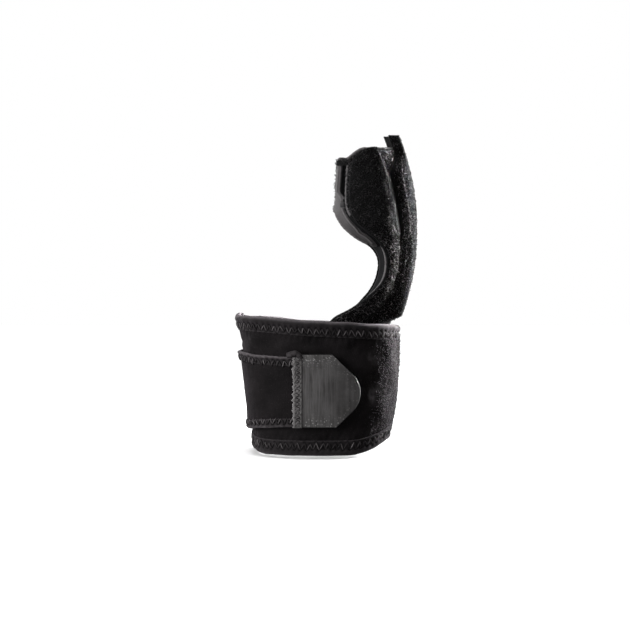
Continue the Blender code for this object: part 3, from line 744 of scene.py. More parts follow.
def knit_look():
    return cloth_look(
        "black_knit", (0.0065, 0.0056, 0.0060), (0.0150, 0.0130, 0.0138), (0.070, 0.060, 0.064),
        lambda tree: knit_height(tree, 0.85, 0.6),
        Sheen_Weight=0.12, Sheen_Roughness=0.35, Sheen_Tint=(0.9, 0.76, 0.88, 1.0), Specular_IOR_Level=0.05,
    )


def hem_look():
    return cloth_look(
        "hem_knit", (0.012, 0.0105, 0.011), (0.027, 0.024, 0.0255), (0.095, 0.086, 0.090),
        lambda tree: knit_height(tree, 0.7, 0.5),
        Sheen_Weight=0.10, Sheen_Roughness=0.5, Sheen_Tint=(0.86, 0.78, 0.86, 1.0), Specular_IOR_Level=0.06,
    )


def lining_look():
    return cloth_look(
        "brushed_lining", (0.009, 0.009, 0.0095), (0.019, 0.019, 0.0205), (0.05, 0.05, 0.052),
        lambda tree: woven_height(tree, 0.8),
        roughness=(0.88, 1.0), Sheen_Weight=0.08, Sheen_Roughness=0.6, Specular_IOR_Level=0.05,
    )


def bound_edge_look():
    return cloth_look(
        "grey_bound_edge", (0.050, 0.046, 0.047), (0.090, 0.084, 0.086), (0.150, 0.142, 0.145),
        lambda tree: woven_height(tree, 0.55),
        roughness=(0.6, 0.8), bump=0.35, Sheen_Weight=0.10, Sheen_Roughness=0.5, Specular_IOR_Level=0.12,
    )


def seam_strip_look():
    return cloth_look(
        "frayed_seam_strip", (0.10, 0.095, 0.095), (0.22, 0.21, 0.21), (0.36, 0.35, 0.35),
        lambda tree: woven_height(tree, 0.7),
        roughness=(0.7, 0.9), bump=0.6, Specular_IOR_Level=0.08,
    )


def pile_base_look():
    return cloth_look(
        "loop_ground", (0.003, 0.003, 0.0032), (0.008, 0.008, 0.0085), (0.012, 0.012, 0.0125),
        lambda tree: knit_height(tree, 0.6, 0.5),
        Sheen_Weight=0.03, Specular_IOR_Level=0.04,
    )


def fibre_look(name, dark, light, roughness=0.55, contrast=2.2, **shader_values):
    """Yarn whose tone changes from loop to loop, with fine twist along it and painted shade towards the
    roots of each loop or stitch.
    """
    made, tree, shader = new_look(name, Roughness=roughness, **shader_values)
    share = math_node(tree, "POWER", attribute(tree, "tone"), contrast)
    ply = spread(tree, fabric_noise(tree, 4.0, 2.0, (1.0, 4.0, 7.0)), 0.6, 1.0, 0.3, 0.7)
    # Painted shade: the yarn darkens towards its roots, where tip is low.
    share = math_node(tree, "MULTIPLY", share, attribute(tree, "tip"))
    colour = mix_colour(tree, math_node(tree, "MULTIPLY", share, ply), dark, light)
    connect(tree, shader, colour, spread(tree, ply, roughness + 0.1, roughness - 0.1), ply, 0.4, 0.00005)
    return made


def hook_tape_look():
    """Smooth back of the hook tab: streaks along the weave, small bright specks at its edges and painted
    shade along its rounded border.
    """
    made, tree, shader = new_look("tab_tape", Specular_IOR_Level=0.12)
    place = attribute(tree, "fabric", "Vector")
    along = node(tree, "SeparateXYZ", [(0, place)]).outputs[0]
    combed = spread(tree, along, 1.0, 0.15, 12.0, 21.0)
    streaks = spread(tree, fabric_noise(tree, 1.3, 3.0, (1.0, 0.05, 1.0)), 0.0, 1.0, 0.35, 0.68)
    streaks = math_node(tree, "MULTIPLY", streaks, combed)
    cloud = spread(tree, fabric_noise(tree, 0.075, 3.0), 0.0, 1.0, 0.38, 0.62)
    colour = mix_colour(tree, cloud, (0.042, 0.040, 0.040), (0.074, 0.071, 0.071))
    colour = mix_colour(tree, streaks, colour, (0.102, 0.098, 0.098))
    cells = node(tree, "TexVoronoi", [("Vector", place), ("Scale", 0.75)]).outputs["Distance"]
    specks = spread(tree, cells, 1.0, 0.0, 0.12, 0.34)
    specks = math_node(tree, "MULTIPLY", specks, attribute(tree, "margin"))
    colour = mix_colour(tree, math_node(tree, "MULTIPLY", specks, 0.9), colour, (0.36, 0.355, 0.355))
    # Painted shade: the tab's rounded border is darkened almost to black.
    worn_and_shading = spread(tree, attribute(tree, "wear"), 0.0, 1.0, 0.05, 0.4)
    colour = mix_colour(tree, worn_and_shading, colour, (0.004, 0.004, 0.004))
    raised = math_node(tree, "ADD", woven_height(tree, 0.5), math_node(tree, "MULTIPLY", streaks, 2.0))
    raised = math_node(tree, "ADD", raised, math_node(tree, "MULTIPLY", specks, 2.0))
    connect(tree, shader, colour, spread(tree, streaks, 0.52, 0.36), raised, 0.35, 0.00008)
    return made


def object_noise(tree, scale, stretch):
    place = node(tree, "TexCoord").outputs["Object"]
    moved = node(tree, "Mapping", [("Vector", place), ("Scale", stretch)]).outputs[0]
    return node(tree, "TexNoise", [("Vector", moved), ("Scale", scale), ("Detail", 3.0)]).outputs[0]


def aluminium_look():
    made, tree, shader = new_look("brushed_aluminium", Metallic=1.0, Anisotropic=0.5)
    lines = spread(tree, object_noise(tree, 2600.0, (1.0, 1.0, 0.03)), 0.0, 1.0, 0.3, 0.7)
    colour = mix_colour(tree, lines, (0.62, 0.62, 0.64), (0.82, 0.82, 0.83))
    connect(tree, shader, colour, spread(tree, lines, 0.42, 0.26), lines, 0.2, 0.00003)
    return made


def cap_look():
    made, tree, shader = new_look("dipped_vinyl_cap", Specular_IOR_Level=0.5)
    grain = spread(tree, object_noise(tree, 900.0, (1.0, 1.0, 1.0)), 0.0, 1.0, 0.3, 0.7)
    colour = mix_colour(tree, grain, (0.014, 0.014, 0.015), (0.03, 0.03, 0.031))
    connect(tree, shader, colour, spread(tree, grain, 0.38, 0.55), grain, 0.25, 0.00005)
    return made


KNIT = knit_look()
HEM_KNIT = hem_look()
LINING_CLOTH = lining_look()
BOUND_EDGE = bound_edge_look()
LOOP_GROUND = pile_base_look()
SEAM_STRIP = seam_strip_look()
LOOP_YARN = fibre_look(
    "loop_yarn", (0.007, 0.0066, 0.007), (0.23, 0.218, 0.226), contrast=1.9, Specular_IOR_Level=0.1
)
DARK_YARN = fibre_look(
    "dark_loop_yarn", (0.003, 0.003, 0.0032), (0.11, 0.105, 0.108), Specular_IOR_Level=0.1
)
NAP_YARN = fibre_look(
    "nap_yarn", (0.009, 0.007, 0.0085), (0.150, 0.118, 0.142), contrast=1.5, Specular_IOR_Level=0.2
)
SEWING_THREAD = fibre_look(
    "sewing_thread", (0.016, 0.014, 0.015), (0.19, 0.175, 0.18), 0.5, Specular_IOR_Level=0.1
)
HOOK_YARN = fibre_look(
    "hook_monofilament", (0.03, 0.03, 0.03), (0.10, 0.10, 0.10), 0.35, Specular_IOR_Level=0.3
)
TAPE = hook_tape_look()


# ---------------------------------------------------------------- cloth simulation

# The simulated sheets are ten times as large as the real ones.
CLOTH_SCALE = 0.01
CLOTH_FRAMES = 20
CLOTH_SETTINGS = {
    "quality": 6,
    "mass": 0.3,
    "tension_stiffness": 25,
    "compression_stiffness": 25,
    "bending_stiffness": 1.5,
    "use_pressure": True,
}


def settle(name, surface, grid, held, slack, push, cap):
    """How far a sewn-down sheet rises or falls when Cloth lets its slack buckle.

    grid is the sheet's (angles, heights or shares), held is 1 where it is sewn or pressed down. The
    result is a distance along the surface's normal at each grid point.
    """
    u, z = grid
    rows, columns = u.shape
    rest = surface(u, z, 0.0)
    normal = unit(surface(u, z, 0.5) - surface(u, z, -0.5))
    mesh = bpy.data.meshes.new(name)
    index = np.arange(rows * columns).reshape(rows, columns)
    a, b, c, d = index[:-1, :-1], index[:-1, 1:], index[1:, 1:], index[1:, :-1]
    start = rest + normal * (0.25 * ripples(*run_both(rest), 14.0, 5) * (1 - held))[..., None]
    quads = np.stack([a, d, c, b], -1).reshape(-1, 4)
    mesh.from_pydata((start.reshape(-1, 3) * CLOTH_SCALE).tolist(), [], quads.tolist())
    sheet = link_new(name, mesh)
    group = sheet.vertex_groups.new(name="sewn")
    for i in np.flatnonzero(held.ravel() > 0.01):
        group.add([int(i)], float(held.ravel()[i]), "REPLACE")
    settings = sheet.modifiers.new("Cloth", "CLOTH").settings
    for key, value in CLOTH_SETTINGS.items():
        setattr(settings, key, value)
    settings.shrink_min = -slack
    settings.uniform_pressure_force = push
    settings.effector_weights.gravity = 0.0
    settings.vertex_group_mass = "sewn"
    scene = bpy.context.scene
    for number in range(1, CLOTH_FRAMES + 1):
        scene.frame_set(number)
    bpy.context.view_layer.objects.active = sheet
    with bpy.context.temp_override(object=sheet, active_object=sheet):
        bpy.ops.object.modifier_apply(modifier="Cloth")
    scene.frame_set(1)
    moved = np.zeros(rows * columns * 3, np.float32)
    sheet.data.vertices.foreach_get("co", moved)
    bpy.data.objects.remove(sheet)
    moved = moved.reshape(rows, columns, 3) / CLOTH_SCALE
    return np.clip(np.einsum("ijk,ijk->ij", moved - rest, normal), -cap[0], cap[1])


def run_both(points):
    """Distances along the rows and up the columns of a grid of points."""
    return run_along(points), run_along(points.swapaxes(0, 1)).swapaxes(0, 1)


def resampled(field, rows, columns):
    """A coarse grid of values read at a finer grid's points."""
    i = np.linspace(0, field.shape[0] - 1, rows)
    j = np.linspace(0, field.shape[1] - 1, columns)
    low_i = np.minimum(i.astype(int), field.shape[0] - 2)
    low_j = np.minimum(j.astype(int), field.shape[1] - 2)
    s, t = (i - low_i)[:, None], (j - low_j)[None, :]
    s, t = s * s * (3 - 2 * s), t * t * (3 - 2 * t)
    low, high = field[low_i], field[low_i + 1]
    bottom = low[:, low_j] * (1 - t) + low[:, low_j + 1] * t
    top = high[:, low_j] * (1 - t) + high[:, low_j + 1] * t
    return bottom * (1 - s) + top * s


# ---------------------------------------------------------------- hems and seams


def hem_section(layer, leg):
    """Outline of a rolled hem: (offset, depth below its edge), and how much each point is outside."""
    roll = 1.9 * (layer[1] - layer[0]) / 4.4
    centre, half = (layer[0] + layer[1]) / 2, (layer[1] - layer[0]) / 2
    inner = [(layer[0], d) for d in np.linspace(leg, roll, 5)[:-1]]
    turn = np.linspace(0.0, math.pi, 11)
    fold = [(centre - half * math.cos(t), roll * (1 - math.sin(t))) for t in turn]
    outer = [(layer[1], d) for d in np.arange(roll + 0.45, leg - 0.2, 0.45)]
    outer += [(layer[1] - 0.12, leg - 0.05), (layer[1] - 0.55, leg)]
    inside = [(layer[1] - 0.6, 0.75), (layer[0] + 0.6, 0.75), (layer[0] + 0.6, leg)]
    outline = np.array(inner + fold + outer + inside)
    out = np.zeros(len(outline))
    first = len(inner) + 4
    out[first : len(inner) + len(fold) + len(outer)] = 1.0
    return outline, out


def needle_field(run, depth, needles, radius):
    """1 at each needle hole, falling off round it. run is the distance along for each ring."""
    field = np.zeros((len(run), depth.shape[-1]))
    for place, down in needles:
        near = slice(*np.searchsorted(run, (place - 2.5, place + 2.5)))
        away = (run[near, None] - place) ** 2 + (depth[near] - down) ** 2
        field[near] = np.maximum(field[near], np.exp(-away / radius**2))
    return field


def hem(name, look, surface, angles, edge, direction, layer, leg, stitches, needles, seed, wave=0.2):
    """A rolled hem with puckers and needle holes; direction is -1 when its legs hang down."""
    outline, out = hem_section(layer, leg)
    run = run_along(surface(angles, edge(angles), layer[1]))
    depth = np.repeat(outline[None, :, 1], len(angles), 0)
    seam = (stitches[0] + stitches[1]) / 2
    swing = (stitches[1] - stitches[0]) / 2
    away = depth - seam
    pinch = -0.30 * np.exp(-((away / (swing + 0.6)) ** 2))
    swell = 0.35 * np.sin(math.pi * np.clip(depth / stitches[0], 0, 1))
    pucker = 0.13 * np.cos(2 * math.pi * run[:, None] / STITCH_PITCH) * np.exp(-((away / 3.0) ** 2))
    uneven = 0.14 * ripples(run[:, None], depth, 7.0, seed)
    holes = needle_field(run, depth, needles, NEEDLE_HOLE)
    rise = (pinch + swell + pucker + uneven - 0.5 * holes) * out
    lift = wave * ripples(run, 0.0 * run, 16.0, seed + 1)[:, None] * np.exp(-depth / 3.0)
    z = edge(angles)[:, None] + direction * (depth - np.minimum(lift, 0.3))
    points = surface(angles[:, None], z, outline[None, :, 0] + rise)
    wear = np.exp(-((depth - 0.2) / 0.9) ** 2) * 0.9 + 0.35 * np.exp(-((depth - leg) / 0.4) ** 2)
    fabric = stacked(run[:, None], depth + outline[None, :, 0], 0.0)
    # hole marks the needle holes, which cloth_look paints with shade.
    values = {"fabric": fabric.reshape(-1, 3), "wear": wear.ravel(), "hole": (holes * out).ravel()}
    return new_piece(name, points, ring_faces(1, *depth.shape), look, **values)


def zigzag_needles(start, end, stitches):
    """A zigzag's needle holes between two distances along a seam, as (distance, depth)."""
    count = 2 * round((end - start) / STITCH_PITCH) + 1
    depths = np.where(np.arange(count) % 2, stitches[0], stitches[1])
    return np.column_stack([np.linspace(start, end, count), depths])


def zigzag_paths(at, needles):
    """A raised path for each half stitch. at(distance, depth, lift) gives its points."""
    t = np.linspace(0.0, 1.0, 9)
    a, b = needles[:-1], needles[1:]
    place = a[:, 0, None] * (1 - t) + b[:, 0, None] * t
    depth = a[:, 1, None] * (1 - t) + b[:, 1, None] * t
    lift = -0.55 + 0.78 * np.sqrt(np.sin(math.pi * np.clip(t, 0.0, 1.0)))
    paths = at(place, depth, lift[None, :])
    above = at(place, depth, lift[None, :] + 0.5)
    return paths, unit(above - paths)


def sewn_hem(
    prefix, surface, span, edge, direction, layer, leg, stitches, sewn, seed, nodes, body=None, blend=None
):
    """A hem and its zigzag seam, put on a body or passed to blend(), which bakes their transform.

    span and sewn are the (first, last) angles of each, and nodes the CAD nodes of each.
    """
    start, end = span
    length = stretch_length(surface, start, end, edge(start), layer[1])
    angles = even_angles(surface, start, end, edge(start), layer[1], int(length / HEM_STEP))
    run = run_along(surface(angles, edge(angles), layer[1]))
    limits = np.interp(sewn, angles, run)
    needles = zigzag_needles(limits[0], limits[1], stitches)
    needles = needles + np.random.default_rng(seed).normal(0.0, NEEDLE_SCATTER, needles.shape)
    made = hem(
        prefix + "_hem", HEM_KNIT, surface, angles, edge, direction, layer, leg, stitches, needles, seed
    )

    def at(place, depth, lift):
        u = np.interp(place, run, angles)
        return surface(u, edge(u) + direction * depth, layer[1] - 0.12 + lift)

    paths, across = zigzag_paths(at, needles)
    seam = tube_piece(prefix + "_zigzag", SEWING_THREAD, paths, across, np.full(9, THREAD), 6, seed + 7)
    for piece, slot, replaced in ((made, "binding", nodes[0]), (seam, "thread", nodes[1])):
        dress(piece, body, slot, *replaced)
        if blend:
            blend(piece)


def dress(piece, body, slot, *nodes, fill=None):
    """Puts a piece on its body and hides the CAD nodes that it stands for; slot, the name of its finish,
    and fill, its padding, are not used.
    """
    if body is not None:
        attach(piece, body)
    if nodes:
        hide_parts(*nodes)
    return piece


# ---------------------------------------------------------------- pile and hooks


def roots(surface, span, ends, pitch, offset, rng):
    """Scattered places on a surface, about one for each square of the given pitch."""
    found_u, found_z = [], []
    for z in np.arange(span[0], span[1], pitch):
        first, last = ends(z)
        dense = np.linspace(first, last, 300)
        run = run_along(surface(dense, z, offset))
        count = max(1, int(run[-1] / pitch))
        places = (np.arange(count) + rng.random(count)) / count * run[-1]
        found_u.append(np.interp(places, run, dense))
        found_z.append(np.minimum(z + pitch * rng.random(count), span[1]))
    return np.concatenate(found_u), np.concatenate(found_z)


def local_frame(surface, u, z, offset):
    """Points of a surface with their normal and their two tangents."""
    point = surface(u, z, offset)
    normal = unit(surface(u, z, offset + 0.5) - point)
    upward = surface(u, z + 0.05, offset) - point
    upward = unit(upward - normal * np.sum(upward * normal, -1, keepdims=True))
    return point, normal, upward, np.cross(normal, upward)


def loop_pile(name, look, surface, span, ends, pitch, offset, size, yarn, seed, keep=None, tuft=4.2):
    """Small yarn loops standing on a surface. size is their mean (width, height)."""
    rng = np.random.default_rng(seed)
    u, z = roots(surface, span, ends, pitch, offset, rng)
    if keep is not None:
        chosen = keep(u, z)
        u, z = u[chosen], z[chosen]
    point, normal, upward, sideways = local_frame(surface, u, z, offset)
    count = len(u)
    turn = rng.random(count) * 2 * math.pi
    spread_out = upward * np.sin(turn)[:, None] + sideways * np.cos(turn)[:, None]
    tilt = (upward * rng.normal(0, 0.35, (count, 1))) + sideways * rng.normal(0, 0.35, (count, 1))
    waves = ripples(point[:, 0] + point[:, 1], point[:, 2], tuft, seed + 5)
    clump = 0.5 + 0.5 * np.clip(1.3 * waves, -1, 1)
    width = size[0] * (0.6 + 0.8 * rng.random(count))
    height = size[1] * (0.4 + 0.9 * rng.random(count)) * (0.6 + 0.8 * clump)
    t = np.linspace(0.0, math.pi, 5)
    flat = (np.cos(t)[None, :] * width[:, None] / 2)[..., None] * spread_out[:, None]
    tall = (np.sin(t)[None, :] * height[:, None] - 0.12)[..., None] * normal[:, None]
    bent = (np.sin(t)[None, :] * height[:, None])[..., None] * tilt[:, None]
    paths = point[:, None] + flat + tall + bent
    reference = np.cross(spread_out, normal)[:, None]
    return tube_piece(name, look, paths, reference, np.full(5, yarn), 3, seed + 1, 0.55 + 0.45 * clump)


def stray_fibres(name, look, surface, span, ends, pitch, offset, length, seed):
    """Thin loose fibres that stand out of the pile."""
    rng = np.random.default_rng(seed)
    u, z = roots(surface, span, ends, pitch, offset, rng)
    point, normal, upward, sideways = local_frame(surface, u, z, offset)
    count = len(u)
    lead = normal + upward * rng.normal(0, 0.9, (count, 1)) + sideways * rng.normal(0, 0.9, (count, 1))
    curl = upward * rng.normal(0, 0.8, (count, 1)) + sideways * rng.normal(0, 0.8, (count, 1))
    t = np.linspace(0.0, 1.0, 5)
    reach = length * (0.4 + rng.random(count))
    paths = point[:, None] + reach[:, None, None] * (
        t[None, :, None] * unit(lead)[:, None] + (t**2)[None, :, None] * curl[:, None] * 0.5
    )
    reference = (np.cross(lead, curl) + 1e-6)[:, None]
    return tube_piece(name, look, paths, reference, np.linspace(0.06, 0.02, 5), 3, seed + 1, tip=np.ones(5))


def hook_rows(name, surface, grid, layer, seed):
    """Rows of small hooks that stand on a tape's inner face and point towards the wrist."""
    rng = np.random.default_rng(seed)
    u, z = (part.ravel() for part in grid)
    point, normal, upward, sideways = local_frame(surface, u, z, layer[1])
    tall = (layer[1] - layer[0]) * 0.92
    t = np.linspace(0.0, 1.0, 7)
    drop = tall * np.where(t < 0.5, t * 2, 1 - 0.45 * ((t - 0.5) * 2) ** 2)
    sway = 0.55 * np.clip((t - 0.35) / 0.65, 0.0, 1.0) ** 0.8
    way = np.where(rng.random(len(u)) < 0.5, 1.0, -1.0)[:, None, None]
    paths = point[:, None] - drop[None, :, None] * normal[:, None]
    paths = paths + way * sway[None, :, None] * sideways[:, None]
    radii = np.linspace(0.13, 0.1, 7)
    return tube_piece(name, HOOK_YARN, paths, upward[:, None], radii, 4, seed, tip=np.ones(7))


# ---------------------------------------------------------------- wrist wrap


PANEL_EDGE = 0.9


def between_hems(surface, bottom, top):
    """A surface between the folds of its hems; share runs from its lower to its upper edge."""

    def panel(u, share, offset):
        low, high = bottom(u) + PANEL_EDGE, top(u) - PANEL_EDGE
        return surface(u, low + share * (high - low), offset)

    return panel


wrap_panel = between_hems(wrist, wrap_bottom, wrap_top)
end_panel = between_hems(end_surface, wrap_bottom, wrap_top)
strap_panel = between_hems(strap_surface, strap_bottom, strap_top)


def seam_puckers(along, across):
    """Small gathers that run from each hem's seam into the panel."""
    near = np.exp(-np.abs(across - HEM_LEG) / 2.2) + np.exp(-np.abs(across[-1:] - across - HEM_LEG) / 2.2)
    return 0.12 * near * np.cos(2 * math.pi * along / STITCH_PITCH + 1.3 * np.sin(along / 9.0))


def under_strap(u, z):
    """1 where the strap or its tab presses on the wrap."""
    inside = smoothstep(z, 9, 13) * (1 - smoothstep(z, 52, 56))
    return inside * smoothstep(u, 62, 72)


def build_wrist_panel():
    first, last = WRAP_START, WRAP_FOLD - 0.1
    coarse = even_grid(wrap_panel, np.linspace(0, 1, 26), lambda _: (first, last), 2.6, WRAP[1])
    height = wrap_panel(*coarse, 0.0)[..., 2]
    hemmed = 1 - smoothstep(height, 5.0, 9.0) * (1 - smoothstep(height, 58.0, 62.0))
    held = np.clip(np.maximum(hemmed, under_strap(coarse[0], height)), 0.0, 1.0)
    held[:, :2] = held[:, -2:] = 1.0
    bulge = settle("wrist_panel_cloth", wrap_panel, coarse, held, 0.006, 0.15, (0.4, 0.6))
    shares = np.linspace(0, 1, PANEL_ROWS)
    grid = even_grid(wrap_panel, shares, lambda _: (first, last), KNIT_SPACING, WRAP[1])
    fine = resampled(bulge, *grid[0].shape)

    def relief(along, across):
        soft = 0.10 * ripples(along, across, 18.0, 3) + 0.05 * ripples(along, across, 5.0, 4)
        return fine + soft + seam_puckers(along, across)

    panel = slab("wrist_panel", KNIT, wrap_panel, grid, WRAP, relief)
    dress(panel, "brace", "knit", "wrist_wrap", fill=0.3)
    build_wrist_lining(first, last)
    rise = relief(*run_both(wrap_panel(*grid, sum(WRAP) / 2)))

    def on_wrap(u, z, offset):
        """The wrap's outer face with the panel's relief, by height instead of share."""
        low, high = wrap_bottom(u) + PANEL_EDGE, wrap_top(u) - PANEL_EDGE
        return wrist(u, z, offset + sampled(rise, grid, u, (z - low) / (high - low)))

    build_wrist_nap(on_wrap)


def build_wrist_lining(first, last):
    grid = even_grid(wrap_panel, np.linspace(0, 1, 66), lambda _: (first, last), 1.1, 0.0)

    def under(along, across):
        return 0.10 * ripples(along, across, 9.0, 12)

    lining = slab("wrist_inner_lining", LINING_CLOTH, wrap_panel, grid, LINING, under=under)
    dress(lining, "brace", "lining", "wrist_lining")
    width = stretch_length(wrap_panel, first, last, 0.5, 0.4)


def build_wrist_nap(surface):
    """Short brushed loops on the wrap's thumb side, which thin out towards the palm and the back."""
    rng = np.random.default_rng(141)

    def keep(u, z):
        return rng.random(len(u)) > smoothstep(u, 31, 56) + smoothstep(-u, 55, 86)

    for side, first, last, pitch, seed in (
        ("back", -88.0, -42.0, 0.85, 142),
        ("thumb_side", -42.0, 42.0, 0.74, 144),
        ("palm", 42.0, 118.0, 0.85, 146),
    ):
        pile = loop_pile(
            f"wrist_nap_{side}", NAP_YARN, surface, NAP_HEIGHTS, lambda _: (first, last), pitch,
            WRAP[1] + 0.04, NAP_LOOP, 0.1, seed, keep, tuft=3.0,
        )
        dress(pile, "brace", "knit")


def build_wrist_hems():
    span = (WRAP_START, WRAP_FOLD - 0.1)
    sewn = (END_ANGLE - 360 + 4, WRAP_FOLD - 1.0)
    for prefix, edge, direction, stitches, seed in (
        ("wrist_top", wrap_top, -1, WRAP_STITCHES, 21),
        ("wrist_bottom", wrap_bottom, 1, WRAP_BOTTOM_STITCHES, 22),
    ):
        nodes = ([prefix + "_binding"], [prefix + "_stitching"])
        sewn_hem(
            prefix, wrist, span, edge, direction, HEM, HEM_LEG, stitches, sewn, seed, nodes, "brace"
        )


def blend_at_fold(piece):
    """Bakes the transform of a piece of the wrap's outer end into its mesh."""
    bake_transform(piece)


def build_wrap_end():
    first, last = WRAP_FOLD - 0.1, END_ANGLE
    shares = np.linspace(0, 1, PANEL_ROWS)
    grid = even_grid(end_panel, shares, lambda _: (first, last), KNIT_SPACING, END_LAYER[1])

    def relief(along, across):
        return 0.12 * ripples(along, across, 14.0, 31) + seam_puckers(along, across)

    panel = slab("wrap_end_panel", KNIT, end_panel, grid, END_LAYER, relief)
    blend_at_fold(dress(panel, None, "knit", "wrap_end_flap", fill=0.3))
    layer = (END_LAYER[0] - 0.9, HEM[1])
    for prefix, edge, direction, stitches, seed in (
        ("wrap_end_top", wrap_top, -1, WRAP_STITCHES, 33),
        ("wrap_end_bottom", wrap_bottom, 1, WRAP_BOTTOM_STITCHES, 34),
    ):
        sewn_hem(
            prefix, end_surface, (first, last), edge, direction, layer, HEM_LEG, stitches,
            (first + 1.0, last - 2.0), seed, ([prefix + "_binding"], []), blend=blend_at_fold,
        )
    build_end_edge(last)
    grid = even_grid(wrist, np.linspace(*END_HOOK_HEIGHTS, 60), lambda _: END_HOOK_ANGLES, 0.8, 4.0)
    tape = slab("wrap_end_hook_tape", TAPE, wrist, grid, (3.9, END_HOOK_LAYER[1]), rounding=0.4)
    dress(tape, "wrap_end", "hook_tape", "wrap_end_hook")
    spots = even_grid(wrist, np.arange(14.0, 55.5, 1.15), lambda _: (231.8, 244.2), 1.0, 4.0)
    dress(hook_rows("wrap_end_hooks", wrist, spots, (3.0, 3.95), 36), "wrap_end", "hook_tape")


def build_end_edge(last):
    """The free edge of the wrap's outer end: a narrow roll and a zigzag seam beside it."""
    low, high = float(wrap_bottom(last)) + 1.0, float(wrap_top(last)) - 1.0
    heights = np.linspace(low, high, 150)
    point, normal, _, _ = local_frame(end_surface, np.full(150, last - 0.9), heights, 1.8)
    roll = edge_roll("wrap_end_roll", HEM_KNIT, point, normal, 1.0, 1.35, 37)
    dress(roll, "wrap_end", "binding")
    left, right = (lambda z: last - 6.4 + 0 * z), (lambda z: last - 3.2 + 0 * z)
    span = (low + HEM_LEG, high - HEM_LEG)
    seam = column_seam("wrap_end_zigzag", end_surface, span, left, right, END_LAYER[1] + 0.1, 3.0, 38)
    dress(seam, "wrap_end", "thread")


# ---------------------------------------------------------------- strap and tab


def blend_at_anchor(piece):
    """Bakes the transform of a piece of the strap into its mesh."""
    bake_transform(piece)


def build_strap():
    start = float(front_angle(STRAP_END_X, 34.0, STRAP_LAYER[1]))
    shares = np.linspace(0, 1, 60)
    grid = even_grid(strap_panel, shares, lambda _: (start, ANCHOR_END), KNIT_SPACING, STRAP_LAYER[1])

    def relief(along, across):
        soft = 0.14 * ripples(along, across, 15.0, 41) + 0.05 * ripples(along, across, 4.5, 42)
        return soft + 0.5 * seam_puckers(along, across + 3.5)

    panel = slab("strap_panel", KNIT, strap_panel, grid, STRAP_LAYER, relief)
    blend_at_anchor(dress(panel, None, "knit", "strap_band", "strap_anchor", fill=0.3))
    for prefix, edge, direction, seed in (
        ("strap_top", strap_top, -1, 43),
        ("strap_bottom", strap_bottom, 1, 44),
    ):
        first = float(front_angle(SEAM_X[0] + 1.2, edge(0.0), STRAP_LAYER[1]))
        nodes = ([prefix + "_binding"], [prefix + "_stitching"])
        sewn_hem(
            prefix, strap_surface, (first, ANCHOR_END - 0.5), edge, direction, STRAP_HEM, STRAP_LEG,
            STRAP_STITCHES, (first + 1.0, ANCHOR_END - 3), seed, nodes, blend=blend_at_anchor,
        )
    build_anchor_seam()


def column_seam(name, surface, span, left, right, offset, pitch, seed):
    """A zigzag seam that runs up a surface between two angles, left(z) and right(z)."""
    count = 2 * round((span[1] - span[0]) / pitch) + 1
    rng = np.random.default_rng(seed)
    z = np.linspace(*span, count) + rng.normal(0.0, 0.08, count)
    u = np.where(np.arange(count) % 2, left(z), right(z)) + rng.normal(0.0, 0.15, count)

    def at(place, depth, lift):
        return surface(place, depth, offset + lift)

    paths, across = zigzag_paths(at, np.column_stack([u, z]))
    return tube_piece(name, SEWING_THREAD, paths, across, np.full(9, THREAD), 6, seed + 1)


def build_anchor_seam():
    span = float(strap_bottom(270.0)) + 2, float(strap_top(270.0)) - 2
    left, right = (lambda z: 274.0 + 0 * z), (lambda z: 277.6 + 0 * z)
    seam = column_seam("anchor_zigzag", strap_surface, span, left, right, 5.1, 3.0, 47)
    dress(seam, "brace", "thread", "strap_anchor_stitching")


def build_tab_seam():
    """A ragged folded strip and two columns of zigzag join the strap and the tab."""
    low, high = TAB_HEIGHTS
    heights = np.linspace(low, high - 1.6, 80)
    rng = np.random.default_rng(51)
    ragged = 0.42 * ripples(heights, 0 * heights, 2.6, 52) + 0.30 * rng.normal(0, 0.6, 80)
    fray = dict(zip(heights, ragged))

    def ends(z):
        return tuple(float(front_angle(x, z, SEAM_LAYER[1])) for x in (SEAM_X[0] + fray[z], SEAM_X[1]))

    grid = even_grid(wrist, heights, ends, 0.35, SEAM_LAYER[1])

    def relief(along, across):
        ridge = 0.35 * np.exp(-(((along - along.max(1, keepdims=True)) + 3.7) / 0.8) ** 2)
        return ridge + 0.12 * ripples(along, across, 1.8, 53)

    def holes(along, across):
        """Two columns of needle holes, half a stitch apart, where shade is painted."""
        near = 0.0
        for column, start in ((1.5, 0.0), (3.9, 1.15)):
            away = np.mod(across - start, 2.3) - 1.15
            near = near + np.exp(-(((along - column) / 0.5) ** 2) - (away / 0.42) ** 2)
        return np.clip(near, 0.0, 1.0)

    strip = slab("tab_seam_strip", SEAM_STRIP, wrist, grid, SEAM_LAYER, relief, rounding=0.4, hole=holes)
    dress(strip, "strap", "hook_tape", "tab_seam_tape")
    left, right = (lambda z: front_angle(-16.3, z, 5.6)), (lambda z: front_angle(-13.9, z, 5.6))
    span = (low + 1.0, high - 2.4)
    seam = column_seam("tab_seam_zigzag", wrist, span, left, right, SEAM_LAYER[1] - 0.02, 2.3, 54)
    dress(seam, "strap", "thread", "tab_seam_stitching")


def build_corner_fold():
    """The end of the strap's top hem is folded back on itself above the tab."""
    t = np.linspace(0.0, 1.0, 40)
    x = -20.6 + 7.4 * t
    z = 51.3 + 1.3 * np.sin(math.pi * t**1.4) - 1.6 * t**6
    offset = 5.2 + 0.8 * np.sin(math.pi * t)
    u = np.array([float(front_angle(a, b, STRAP_LAYER[1])) for a, b in zip(x, z)])
    point, normal, _, _ = local_frame(wrist, u, z, offset)
    fold = edge_roll("strap_corner_fold", HEM_KNIT, point, normal, 1.5, 0.8, 55)
    dress(fold, "strap", "binding")


